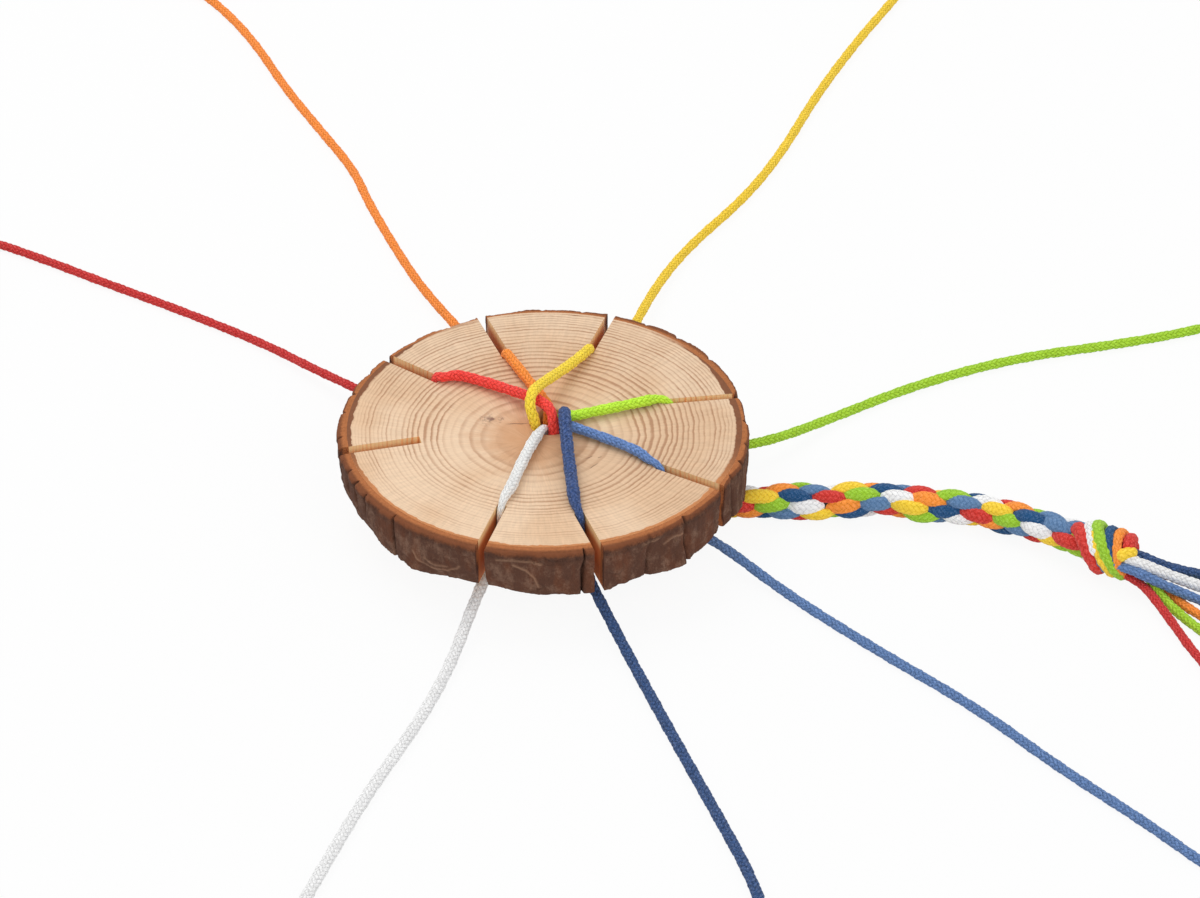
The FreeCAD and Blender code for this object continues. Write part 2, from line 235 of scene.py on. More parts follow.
def setStudio():
    s = studio
    world = bpy.data.worlds.new("studio")
    world.use_nodes = True
    tree = world.node_tree
    tree.nodes.clear()
    path = tree.nodes.new("ShaderNodeLightPath")
    background = tree.nodes.new("ShaderNodeBackground")
    strength = tree.nodes.new("ShaderNodeMix")
    strength.inputs[2].default_value = s["skyStrength"]
    strength.inputs[3].default_value = 1.0
    output = tree.nodes.new("ShaderNodeOutputWorld")
    seen = path.outputs["Is Camera Ray"]
    for other in ("Is Glossy Ray", "Is Transmission Ray"):
        either = tree.nodes.new("ShaderNodeMath")
        either.operation = "MAXIMUM"
        tree.links.new(seen, either.inputs[0])
        tree.links.new(path.outputs[other], either.inputs[1])
        seen = either.outputs[0]
    tree.links.new(seen, strength.inputs[0])
    tree.links.new(strength.outputs[0], background.inputs["Strength"])
    tree.links.new(background.outputs[0], output.inputs["Surface"])
    bpy.context.scene.world = world
    areaLight("key", s["keyEnergy"], s["keySize"], s["keyFrom"])
    areaLight("fill", s["fillEnergy"], s["fillSize"], s["fillFrom"])
    half, low = s["floorSize"] / 2, level["table"] * mm
    corners = [(x * half, y * half, low) for x, y in ((-1, -1), (1, -1), (1, 1), (-1, 1))]
    mesh = bpy.data.meshes.new("floor")
    mesh.from_pydata(corners, [], [(0, 1, 2, 3)])
    floor = bpy.data.objects.new("floor", mesh)
    bpy.context.scene.collection.objects.link(floor)
    mesh.materials.append(floorMaterial())
    bpy.context.scene.view_settings.view_transform = "Standard"


placeCamera()
setStudio()
print("camera, light and floor")

# The cords. What repeats the CAD model's values is named as it is there.
cordFit = {
    "diameter": 2.2, "restGap": 0.3, "crossingGap": 0.2, "braidRecess": 4.5,
    "splitGap": 0.3, "underEdge": 2.2, "seatDrop": 0.3,
    # half the length over which a lifted strand bends, and from where to where out of its
    # slot the cord beyond it does
    "hingeBend": 2.4, "runBend": (1.5, 45.0),
    "pressedBelow": 0.6,  # how far under the face the slot's walls begin to press a strand
    "runResolution": 24,
}
hole = {"x": 1.6, "y": 2.2}
onFace = cordFit["diameter"] / 2 + cordFit["restGap"]
overOne = onFace + cordFit["diameter"] + cordFit["crossingGap"]
onTable = cordFit["diameter"] / 2
underFace = level["underside"] - cordFit["restGap"] - cordFit["underEdge"] - level["table"]

# For each cord: its dye as the screen shows it, low, the colour it is given instead on the table,
# where less light reaches it (painted shade, darker for most cords), its slot (bearing, how far
# its middle line passes from the disk's centre, its width), its seat, where it is pinched in the
# slot, and how thick it is, on the face and beyond. Its route: rise (its place in the hole),
# over, hinge and across are above the face, and sink says how it goes down at the slot and how
# thin it is drawn there; out and tail are above the table, coil is the bearing at which it runs
# into its coil and on which side that lies, and bundle is its place where the tails leave the
# knot, across and up. Some also have lip, how thin it is drawn at the hole, lines, how dark the
# painted shade between its yarns is, and fluff, how unevenly its fibres catch the light.
cords = {
    "red": {
        "dye": (250, 62, 52), "low": (206, 38, 36), "slot": (143.8, -1.0, 2.2),
        "seat": (-21.45, 16.9), "thick": (2.2, 1.85),
        "rise": (2.15, -0.9), "over": [(2.3, -1.2, 2.4), (1.5, 1.7, overOne), (-1.2, 5.4, 3.3)],
        "hinge": (-5.5, 9.6, 2.0), "across": [(-11.6, 13.8, onFace), (-16.9, 16.2, onFace)],
        "sink": ("steep", 0.84),
        "out": [(-25.0, 20.1, underFace), (-31.3, 26.0, 4.8), (-38.9, 32.7, 4.3),
                (-47.4, 41.5, 2.6), (-57.1, 51.7, onTable), (-75.2, 63.8, onTable),
                (-91.3, 73.6, onTable), (-105.6, 82.8, onTable), (-119.0, 90.5, onTable)],
        "coil": (200.0, 1), "bundle": (-2.0, -2.6),
        "tail": [(118.6, -38.5, 1.9), (123.7, -51.7, onTable), (130.2, -63.6, onTable)],
    },
    "orange": {
        "dye": (255, 146, 44), "low": (255, 142, 44), "slot": (110.7, -1.7, 1.9),
        "seat": (-7.63, 25.04), "thick": (2.15, 1.95),
        "rise": (0.8, 2.6), "over": [(1.0, 3.2, -1.2), (1.3, 5.4, 1.3), (-0.2, 9.0, 1.2)],
        "hinge": (-1.5, 11.3, onFace), "across": [(-4.5, 17.6, onFace)],
        "sink": ("steep", 0.9),
        "out": [(-8.8, 29.7, underFace), (-11.3, 38.2, 4.8), (-17.4, 53.6, 3.3),
                (-22.6, 64.8, 1.9), (-28.3, 77.6, onTable), (-37.5, 102.3, onTable),
                (-41.4, 116.2, onTable), (-49.5, 132.2, onTable), (-57.7, 148.8, onTable),
                (-64.6, 165.8, onTable), (-71.5, 179.0, onTable), (-79.5, 190.3, onTable)],
        "coil": (170.0, -1), "bundle": (0.5, -2.6),
        "tail": [(118.6, -29.6, onTable), (124.8, -37.8, onTable), (135.0, -46.4, onTable),
                 (143.6, -55.4, onTable)],
    },
    "yellow": {
        "dye": (255, 222, 54), "low": (250, 210, 44), "slot": (71.3, -0.3, 1.8),
        "seat": (9.36, 26.76), "thick": (2.2, 2.0),
        "rise": (-0.9, 0.8),
        "over": [(-1.3, 0.1, 1.5), (-2.5, 0.9, 4.4), (-2.2, 3.9, 5.7), (-0.7, 7.2, 5.2)],
        "hinge": (1.6, 11.8, 3.8), "across": [(4.9, 17.8, 2.2)],
        "sink": ("steep", 0.9),
        "out": [(11.0, 31.3, underFace), (14.0, 39.4, 4.8), (17.7, 53.6, 3.5),
                (23.1, 72.3, 1.9), (30.0, 87.6, onTable), (42.0, 105.6, onTable),
                (50.4, 123.5, onTable), (58.4, 146.0, onTable), (68.4, 168.6, onTable),
                (74.4, 180.4, onTable), (79.6, 191.0, onTable)],
        "coil": (12.0, 1), "bundle": (2.0, -1.15),
        "tail": [(125.4, -29.2, onTable), (136.6, -32.2, onTable), (148.8, -38.6, onTable)],
    },
    "green": {
        "dye": (196, 248, 52), "low": (168, 216, 40), "slot": (8.0, 5.6, 1.6),
        "seat": (25.19, 9.18), "thick": (2.15, 2.0),
        "rise": (1.9, 3.9), "over": [(3.2, 3.2, 0.9), (6.2, 2.3, onFace)],
        "hinge": (8.8, 3.4, onFace), "across": [(16.0, 5.8, onFace), (20.4, 7.6, onFace - 0.1)],
        "sink": ("gentle", 0.66),
        "out": [(29.6, 9.9, underFace), (38.2, 11.3, 4.8), (46.5, 15.9, 3.6),
                (57.4, 26.0, onTable), (74.6, 37.4, onTable), (95.3, 46.8, onTable),
                (116.5, 51.6, onTable), (130.0, 55.6, onTable), (140.2, 59.8, onTable)],
        "coil": (-20.0, -1), "bundle": (-0.8, -0.6),
        "tail": [(117.4, -31.8, 2.0), (121.6, -38.2, onTable), (127.0, -45.0, onTable),
                 (139.5, -60.4, onTable)],
    },
    "light_blue": {
        "dye": (100, 136, 196), "low": (92, 126, 178), "slot": (-30.2, 0.7, 1.9),
        "seat": (23.22, -12.75), "thick": (2.05, 2.0), "fluff": 1.6,
        "rise": (2.6, 1.3), "over": [(2.8, 1.0, 1.2), (5.4, -1.0, onFace)],
        "hinge": (7.8, -2.3, onFace), "across": [(14.4, -6.3, onFace), (18.8, -9.3, onFace - 0.1)],
        "sink": ("gentle", 0.66),
        "out": [(27.3, -15.0, underFace), (34.2, -19.4, 4.4), (46.5, -30.8, onTable),
                (64.3, -49.3, onTable), (80.7, -65.0, onTable), (95.2, -82.7, onTable),
                (110.0, -98.4, onTable), (122.0, -113.0, onTable)],
        "coil": (-8.0, 1), "bundle": (-3.6, 0.1),
        "tail": [(117.7, -31.8, 4.3), (125.3, -34.2, 2.0), (136.0, -39.6, onTable),
                 (145.6, -48.0, onTable)],
    },
    "dark_blue": {
        "dye": (48, 76, 130), "low": (40, 74, 124), "slot": (-70.8, -2.2, 1.9),
        "seat": (7.54, -28.32), "thick": (2.5, 2.2), "fluff": 2.6,
        "rise": (4.3, 1.9), "over": [(4.2, 2.1, overOne + 0.1), (4.4, -3.0, overOne + 0.1)],
        "hinge": (4.8, -8.2, 2.3), "across": [(5.6, -17.0, onFace + 0.1), (6.1, -22.6, onFace)],
        "sink": ("gentle", 0.6),
        "out": [(9.5, -32.9, underFace), (12.9, -41.2, 3.2), (17.9, -54.0, onTable),
                (26.9, -80.4, onTable), (33.2, -98.4, onTable), (37.8, -112.0, onTable),
                (40.6, -124.5, onTable)],
        "coil": (-20.0, -1), "bundle": (0.0, 1.0),
        "tail": [(120.0, -27.2, 4.3), (125.9, -26.8, 2.6), (136.8, -28.6, onTable),
                 (149.5, -33.5, onTable)],
    },
    "white": {
        "dye": (238, 238, 236), "low": (240, 240, 240), "slot": (-106.8, 0.0, 1.9),
        "seat": (-7.83, -25.8), "thick": (2.3, 2.3),
        "rise": (1.1, 1.0), "over": [(1.2, 1.0, 1.0)], "lip": 0.42, "lines": 0.28,
        "hinge": (-1.6, -5.4, onFace), "across": [(-4.6, -15.6, onFace), (-5.7, -20.6, onFace)],
        "sink": ("gentle", 0.6),
        "out": [(-10.6, -30.3, underFace), (-13.2, -38.6, 3.4), (-17.0, -53.4, onTable),
                (-22.6, -70.2, onTable), (-31.2, -90.0, onTable), (-38.0, -109.6, onTable),
                (-43.0, -124.5, onTable)],
        "coil": (-160.0, 1), "bundle": (-2.3, 1.3),
        "tail": [(118.6, -29.5, 4.9), (125.6, -30.8, 2.8), (136.8, -35.6, onTable),
                 (147.6, -43.0, onTable)],
    },
}
knot = {"centre": (108.0, -22.8), "bearing": -30.0, "length": 13.0, "diameter": 11.4,
        "tailStart": 2.5, "tailStraight": 1.5}

coil = {"outerTurn": 13.2, "innerTurn": 11.0, "approach": 9.0, "lead": 9.0,
        "pointsPerTurn": 24, "change": 0.3}

# The plait of a cord: yarns run both ways round it, over two and under two. Lead is how far
# along a yarn gets in its own width round; lumps swell the cord in waves of three lengths.
plait = {"yarns": 8, "lead": 1.12, "depth": 0.17, "step": 0.24, "sides": 28,
         "lump": 0.03, "lumpLength": 7.0, "lumpWaves": (1.0, 0.47, 0.23),
         "endRound": 0.3, "endTip": 0.4,
         "seeds": {"strand": 0, "run": 20, "tail": 40, "wrap": 70}}


def ahead(bearing):
    return np.array([math.cos(math.radians(bearing)), math.sin(math.radians(bearing)), 0.0])


def aboveFace(point):
    return (point[0], point[1], level["face"] + point[2])


def aboveTable(point):
    return (point[0], point[1], level["table"] + point[2])


def smoothLine(points, resolution=48):
    # the NURBS line that has the route's points as its control points
    curve = bpy.data.curves.new("route", "CURVE")
    curve.dimensions = "3D"
    spline = curve.splines.new("NURBS")
    spline.points.add(len(points) - 1)
    for control, point in zip(spline.points, points):
        control.co = (point[0] * mm, point[1] * mm, point[2] * mm, 1.0)
    spline.order_u = 3
    spline.use_endpoint_u = True
    spline.resolution_u = resolution
    holder = bpy.data.objects.new("route", curve)
    mesh = bpy.data.meshes.new_from_object(holder)
    line = np.array([v.co[:] for v in mesh.vertices]) / mm
    bpy.data.objects.remove(holder)
    bpy.data.curves.remove(curve)
    bpy.data.meshes.remove(mesh)
    return line


def evenly(line, step):
    # the same line with its points a step apart, and how far along it each one is
    gaps = np.linalg.norm(np.diff(line, axis=0), axis=1)
    along = np.concatenate([[0], np.cumsum(gaps)])
    count = max(2, math.ceil(along[-1] / step) + 1)
    at = np.linspace(0, along[-1], count)
    return np.stack([np.interp(at, along, line[:, k]) for k in range(3)], axis=1), at


def lengthOf(line):
    return float(np.linalg.norm(np.diff(line, axis=0), axis=1).sum())


def frames(line):
    # two directions square to the line at each point, turned as little as can be
    tangents = np.gradient(line, axis=0)
    tangents /= np.linalg.norm(tangents, axis=1)[:, None]
    side = np.cross(tangents[0], [0.3, 0.2, 0.9])  # a direction in which no cord starts
    sides = np.empty_like(line)
    for n, tangent in enumerate(tangents):
        side = side - tangent * (side @ tangent)
        side = side / np.linalg.norm(side)
        sides[n] = side
    return sides, np.cross(tangents, sides)


def plaitHeight(around, along):
    # 0 between the yarns, 1 on top of one that lies over; around is in turns
    one = around[None, :] * plait["yarns"] + along[:, None] / plait["lead"]
    two = around[None, :] * plait["yarns"] - along[:, None] / plait["lead"]
    step = (np.floor(one) + np.floor(two)) % 4
    oneLiesOver = step < 2
    across = np.where(oneLiesOver, one % 1, two % 1)
    through = np.where(oneLiesOver, (step + two % 1) / 2, (step - 2 + one % 1) / 2)
    crown = np.sqrt(np.clip(1 - (2 * across - 1) ** 2, 0, 1))
    return crown * np.sqrt(np.clip(np.sin(np.pi * through), 0, 1))


def makeMesh(name, points, faces, material, attributes=None, plaitMap=None):
    # a smooth mesh object; an attribute has a number or a colour for each point
    mesh = bpy.data.meshes.new(name)
    mesh.from_pydata((np.asarray(points) * mm).tolist(), [], faces)
    mesh.materials.append(material)
    mesh.polygons.foreach_set("use_smooth", [True] * len(mesh.polygons))
    for key, values in (attributes or {}).items():
        values = np.asarray(values, np.float32)
        kind, field = ("FLOAT_COLOR", "color") if values.ndim == 2 else ("FLOAT", "value")
        mesh.attributes.new(key, kind, "POINT").data.foreach_set(field, values.ravel())
    if plaitMap is not None:
        mesh.uv_layers.new(name="plaitMap").data.foreach_set("uv", np.asarray(plaitMap).ravel())
    made = bpy.data.objects.new(name, mesh)
    bpy.context.scene.collection.objects.link(made)
    return made


def tubeFaces(rings, sides, along):
    # the faces of a closed tube whose last two points are its ends, and each corner's place
    # on it: turns round, millimetres along
    faces, places = [], []
    for ring in range(rings - 1):
        low, high, a, b = ring * sides, (ring + 1) * sides, along[ring], along[ring + 1]
        for k in range(sides):
            after = (k + 1) % sides
            faces.append((low + k, low + after, high + after, high + k))
            places += [(k / sides, a), ((k + 1) / sides, a), ((k + 1) / sides, b), (k / sides, b)]
    tip = plait["endTip"]
    for k in range(sides):
        after, last = (k + 1) % sides, (rings - 1) * sides
        faces += [(after, k, rings * sides), (last + k, last + after, rings * sides + 1)]
        for end, out, one, two in ((along[0], -tip, k + 1, k), (along[-1], tip, k, k + 1)):
            places += [(one / sides, end), (two / sides, end), (k / sides, end + out)]
    return faces, places


def plaitedTube(line, diameter, seed, squeeze=None):
    # points, faces, map and line of a plaited cord; squeeze gives at each point of the line
    # how narrow it is pressed, in which direction, and how thin it is drawn
    line, along = evenly(line, plait["step"])
    sides, ups = frames(line)
    turns = plait["sides"]
    lumps = np.random.default_rng(seed)
    swell = np.ones(len(line))
    for wave in plait["lumpWaves"]:
        swell += plait["lump"] * np.sin(
            2 * np.pi * along / (plait["lumpLength"] * wave) + lumps.uniform(0, 6.3))
    around = np.arange(turns) / turns
    radius = diameter / 2 * swell[:, None] - plait["depth"] * (1 - plaitHeight(around, along))
    ends = np.minimum(along, along[-1] - along)
    ends = np.clip(ends / (diameter * plait["endRound"]), 0, 1)
    radius = radius * np.sqrt(ends * 0.85 + 0.15)[:, None]
    angle = 2 * np.pi * around
    offset = (sides[:, None, :] * np.cos(angle)[None, :, None]
              + ups[:, None, :] * np.sin(angle)[None, :, None]) * radius[:, :, None]
    if squeeze is not None:
        narrow, way, drawn = squeeze(line)
        inSlot = (offset @ way)[:, :, None] * way
        offset = (offset - inSlot) * (drawn / np.sqrt(narrow))[:, None, None]
        offset = offset + inSlot * (drawn * narrow)[:, None, None]
    points = np.concatenate([(line[:, None, :] + offset).reshape(-1, 3), line[:1], line[-1:]])
    faces, places = tubeFaces(len(line), turns, along)
    return points, faces, places, line


# How cotton looks. A noise is (how many to the millimetre, detail, roughness).
cottonLook = {
    "loose": (1.6, 2.0, 0.6), "looseAround": 0.5, "looseAlong": 0.7,  # how the yarns wander
    "fibres": (5.5, 3.0, 0.65), "patches": (0.45, 1.0), "tufts": (1.9, 3.0, 0.7),
    # lines and braidLines: how dark the painted shade between the yarns is; plain: the painted
    # brightness on a yarn's top
    "lines": 0.44, "braidLines": 0.26, "fluff": 0.5,
    "yarnEdge": 0.8, "fibreShade": 1.2, "patchShade": 0.2, "plain": 1.10,
    # the tops of the yarns are painted paler where the fibres stand higher than this: worn fibres
    # and a painted highlight
    "wornHighlightColour": (0.95, 0.94, 0.92, 1), "wornHighlightFrom": 0.45, "wornHighlightGain": 1.8, "worn": 0.3,
    "relief": 0.10, "yarnRelief": 0.8, "fibreRelief": 0.6,
    "surface": {"Roughness": 0.88, "Specular IOR Level": 0.25, "Sheen Weight": 0.12,
                "Sheen Roughness": 0.5},
}


def plaitShade(shader):
    # plaitHeight again, as nodes
    look = cottonLook
    place = shader.attribute("plaitMap", 1)
    loose = shader.noise(shader.place(), *look["loose"]) - 0.5
    around, along = shader.parts(place, 0, 1)
    around = around * plait["yarns"] + loose * look["looseAround"]
    along = along / plait["lead"] + loose * look["looseAlong"]
    one, two = around + along, around - along
    step = (one.math("FLOOR") + two.math("FLOOR")).math("FLOORED_MODULO", 4.0)
    twoLiesOver = step.above(1.5)
    across = one.part() + (two.part() - one.part()) * twoLiesOver
    through = step + two.part() + (one.part() - two.part() - 2) * twoLiesOver
    crown = (1 - (across * 2 - 1).power(2.0)).most(0.0).root()
    return crown * (through * (math.pi / 2)).wave().most(0.0).root()


def cottonMaterial(name, lines, fluff, dye=None, low=None):
    # plaited cotton: painted shade between the yarns and a painted highlight on their tops, with
    # fine fibres on top; below the face it shades to the colour low, painted shade on the table.
    # With no dye given, each yarn has its own colour in the attribute of that name
    look = cottonLook
    shader = Shader(name)
    where = shader.place()
    height = plaitShade(shader)
    fibres, patches, tufts = (shader.noise(where, *look[n]) for n in ("fibres", "patches", "tufts"))
    if dye:
        up = shader.parts(where, 2)[0]
        # darker down towards the table, to the colour low: painted shade
        colour = shader.mix(linear(low), linear(dye), up.smooth(level["underside"], level["face"]))
    else:
        colour = shader.attribute("dye", 0)
    # painted shade between the yarns and a painted highlight of up to plain on their tops; fibres
    # and patches vary the tone, and tufts make the fibres catch the light unevenly
    shade = look["plain"] - lines + height.smooth(0.0, look["yarnEdge"]) * lines
    shade = shade + (fibres - 0.5) * look["fibreShade"] + (patches - 0.5) * look["patchShade"]
    shade = shade + (tufts - 0.5) * fluff
    # the tops of the yarns are paler where the fibres stand high: worn fibres and a painted
    # highlight
    worn = ((fibres - look["wornHighlightFrom"]) * look["wornHighlightGain"]).clamped() * height * look["worn"]
    colour = shader.tint(shader.mix(colour, look["wornHighlightColour"], worn), shade)
    relief = shader.relief(height * look["yarnRelief"] + fibres * look["fibreRelief"],
                           look["relief"])
    return shader.finish({"Base Color": colour, "Normal": relief}, look["surface"])


# How a cord sinks into its slot, steeply or gently, and what lies below in both cases:
# (out from where it is pinched, down from lying on the face)
slotSlant = {
    "steep": [(-2.4, 0.0), (-0.9, 0.15), (-0.35, 1.3), (-0.25, 3.2), (0.0, 6.4)],
    "gentle": [(-3.4, 0.25), (-1.5, 0.5), (-0.3, 1.7), (0.0, 3.6), (0.1, 6.4)],
    "below": [(0.05, 6.1), (0.6, 10.4)],
}


def strandPoints(cord):
    # up out of the hole, over the face and down to half way through the slot
    along = ahead(cord["slot"][0])
    bend = np.array(aboveFace((*cord["seat"], onFace - cordFit["seatDrop"])))
    points = [(*cord["rise"], level["face"] - cordFit["braidRecess"] + cordFit["splitGap"])]
    points += [aboveFace(p) for p in cord["over"] + [cord["hinge"]] + cord["across"]]
    for out, down in slotSlant[cord["sink"][0]]:
        points.append(tuple(bend + along * out - np.array([0, 0, down])))
    return points


def runPoints(cord):
    # from half way through the slot, under the disk and along the table to the coil
    seat = np.array([*cord["seat"], level["face"] + onFace - cordFit["seatDrop"]])
    bearing, way = cord["coil"]
    points = [tuple(seat + ahead(cord["slot"][0]) * out - np.array([0, 0, down]))
              for out, down in slotSlant["below"]]
    points += [aboveTable(p) for p in cord["out"]]
    last = np.array(points[-1])
    entry = last + ahead(bearing) * coil["approach"]
    touch = entry + ahead(bearing) * coil["lead"]
    points += [tuple(entry), tuple(touch)]
    centre = touch + ahead(bearing + 90) * way * coil["outerTurn"]
    return points + coilPoints(centre, bearing - 90 * way, way)


def coilPoints(centre, start, way):
    # an outer turn, an inner one, and the same again on top of them the other way about
    points = []
    count = coil["pointsPerTurn"]
    half = coil["change"] / 2
    for n in range(1, 4 * count):
        turn = n / count
        outward = np.interp(turn, [1 - half, 1 + half, 3 - half, 3 + half], [1, 0, 0, 1])
        up = np.interp(turn, [2 - half, 2 + half], [0, 1])
        radius = coil["innerTurn"] + (coil["outerTurn"] - coil["innerTurn"]) * outward
        place = centre + ahead(start + way * 360 * turn) * radius
        points.append((place[0], place[1], place[2] + cordFit["diameter"] * up))
    return points


def tailPoints(cord):
    across, up = cord["bundle"]
    x, y = knot["centre"]
    middle = np.array([x, y, level["table"] + knot["diameter"] / 2])
    bundle = middle + ahead(knot["bearing"] + 90) * across + np.array([0, 0, up])
    leaving = bundle + ahead(knot["bearing"]) * (knot["length"] / 2 + knot["tailStraight"])
    start = bundle + ahead(knot["bearing"]) * knot["tailStart"]
    return [tuple(start), tuple(leaving)] + [aboveTable(p) for p in cord["tail"]]


# How a cord is drawn thin and pressed: between which distances from its slot and its hole it
# gets thin, between which heights by the underside that begins, how far below and above the
# slot and how far along it the walls still press, and how much narrower than the slot it is
pinchFit = {"slotNear": (0.6, 4.6), "holeNear": (0.3, 5.5), "foot": (-1.5, 1.0),
            "below": 1.2, "above": 1.6, "reach": 2.2, "play": 0.06}


def pinch(cord, thick, high):
    # the squeeze of one cord, whose slot's walls press it from the underside up to a height
    p, low = pinchFit, level["underside"]
    bearing, _, width = cord["slot"]
    seat, rise = np.array(cord["seat"]), np.array(cord["rise"])
    tip = cord["sink"][1]

    def squeeze(line):
        away = np.linalg.norm(line[:, :2] - seat, axis=1)
        risen = np.linalg.norm(line[:, :2] - rise, axis=1)
        up = np.interp(line[:, 2], [low + height for height in p["foot"]], [0, 1])
        drawn = 1 - (1 - tip) * np.interp(away, p["slotNear"], [1, 0]) * up
        drawn = drawn * np.interp(risen, p["holeNear"], [cord.get("lip", 1.0), 1])
        narrow = np.minimum(1.0, (width - p["play"]) / (thick * drawn))
        heights = [low - p["below"], low, high, high + p["above"]]
        pressed = np.interp(line[:, 2], heights, [0, 1, 1, 0]) * (away < p["reach"])
        return 1 - pressed * (1 - narrow), ahead(bearing + 90), drawn
    return squeeze


cotton = {name: cottonMaterial(name + "_cotton", cord.get("lines", cottonLook["lines"]),
                               cord.get("fluff", cottonLook["fluff"]), cord["dye"], cord["low"])
          for name, cord in cords.items()}


def cordMesh(name, end, line, thick, seed, squeeze=None):
    points, faces, places, path = plaitedTube(line, thick, seed, squeeze)
    return makeMesh(name + end, points, faces, cotton[name], plaitMap=places), path


def declareCord(name, path, thick):
    name + "_cord"
    tuple(path[0] * mm)
    thick * mm
    path * mm


def makeCords():
    bend, (runStart, runEnd) = cordFit["hingeBend"], cordFit["runBend"]
    seeds = plait["seeds"]
    for n, (name, cord) in enumerate(cords.items()):
        body = name + "_strand"
        overThick, runThick = cord["thick"]

        squeeze = pinch(cord, overThick, level["face"] - cordFit["pressedBelow"])
        piece, path = cordMesh(name, "_strand", smoothLine(strandPoints(cord)), overThick,
                               n + seeds["strand"], squeeze)
        hinge, across = (np.array(aboveFace(p)) for p in (cord["hinge"], cord["across"][0]))
        way = (across - hinge) * (1, 1, 0)
        way = way / np.linalg.norm(way) * bend
        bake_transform(piece)
        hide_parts(name + "_rise", name + "_lift")
        declareCord(name, path, overThick)

        squeeze = pinch(cord, runThick, level["face"])
        line = smoothLine(runPoints(cord), cordFit["runResolution"])
        piece, path = cordMesh(name, "_cord", line, runThick, n + seeds["run"], squeeze)
        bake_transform(piece)
        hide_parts(name + "_run", name + "_coil")
        declareCord(name, path, runThick)

        piece, path = cordMesh(name, "_tail_end", smoothLine(tailPoints(cord)), runThick,
                               n + seeds["tail"])
        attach(piece, "root")
        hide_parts(name + "_tail")
        declareCord(name, path, runThick)


makeCords()
print("cords")

# The braid: 142 stitches in eight rows round it, each cord's colour in turn. Each stitch lies
# three rows on from the last, so a row holds every eighth stitch.
braid = {
    "diameter": 7.2, "spacing": 0.846, "stitchLength": 8.4, "stitchWidth": 2.95,
    "stitchThick": 2.2, "tuck": 1.5, "tuckPower": 2.2, "endPower": 3.0, "dent": 0.10, "tip": 0.1,
    "rows": 8.0, "rowStep": 3.0, "turn": -60.0, "firstIndex": 55, "tilt": 7.0,
    # the core: a near-black tube inside the stitches, painted shade that shows between them
    "coreDiameter": 4.6, "coreSides": 12, "coreColour": (0.03, 0.03, 0.03, 1),
    "seed": 3, "sides": 16, "rings": 24, "lineStep": 0.5, "elbow": 6.2,
    "order": ("yellow", "dark_blue", "red", "green", "white", "orange", "light_blue"),
    "jitter": (0.35, 0.25, 0.5), "sizes": (0.92, 1.05),
    # the last stitches before the knot, pulled out of the order
    "pulled": {184: "light_blue", 187: "red", 189: "light_blue", 190: "green"},
    # each cord's colour in the braid and knot, darker for most cords than on the face: painted
    # shade
    "shadedDyes": {"red": (216, 50, 40), "orange": (255, 150, 50), "yellow": (255, 214, 52),
             "green": (158, 208, 42), "light_blue": (92, 130, 174), "dark_blue": (16, 78, 128),
             "white": (246, 246, 246)},
    "route": [(4.2, 1.7, 3.6), (10.4, 0.6, 3.6), (22.3, -2.5, 3.6), (39.7, -5.2, 3.6),
              (49.0, -4.6, 3.6), (57.0, -5.4, 3.6), (65.0, -3.7, 3.6), (72.0, -5.7, 3.6),
              (87.0, -8.2, 3.6), (96.2, -13.6, 4.6)],
}


def stitchShape():
    # one stitch lying along z, its belly outwards in x and its two ends tucked in
    b = braid
    half, tip = b["stitchLength"] / 2, b["tip"]
    share = np.linspace(-1, 1, b["rings"])
    middle = b["diameter"] / 2 - b["stitchThick"] / 2
    outward = middle - b["tuck"] * np.abs(share) ** b["tuckPower"]
    full = np.sqrt(np.clip(1 - np.abs(share) ** b["endPower"], 0, 1)) * 0.9 + 0.1
    around = np.arange(b["sides"]) / b["sides"]
    along = (share + 1) * half
    swell = 1 - b["dent"] * (1 - plaitHeight(around, along))
    angle = 2 * np.pi * around
    x = np.cos(angle) * b["stitchThick"] / 2 * (full * 0.5 + 0.5)[:, None] * swell
    x = outward[:, None] + x
    y = np.sin(angle) * b["stitchWidth"] / 2 * full[:, None] * swell
    z = np.repeat((share * half)[:, None], b["sides"], axis=1)
    points = np.stack([x, y, z], axis=2).reshape(-1, 3)
    tips = [(outward[0], 0, -half - tip), (outward[-1], 0, half + tip)]
    faces, places = tubeFaces(b["rings"], b["sides"], along)
    return np.concatenate([points, tips]), faces, places


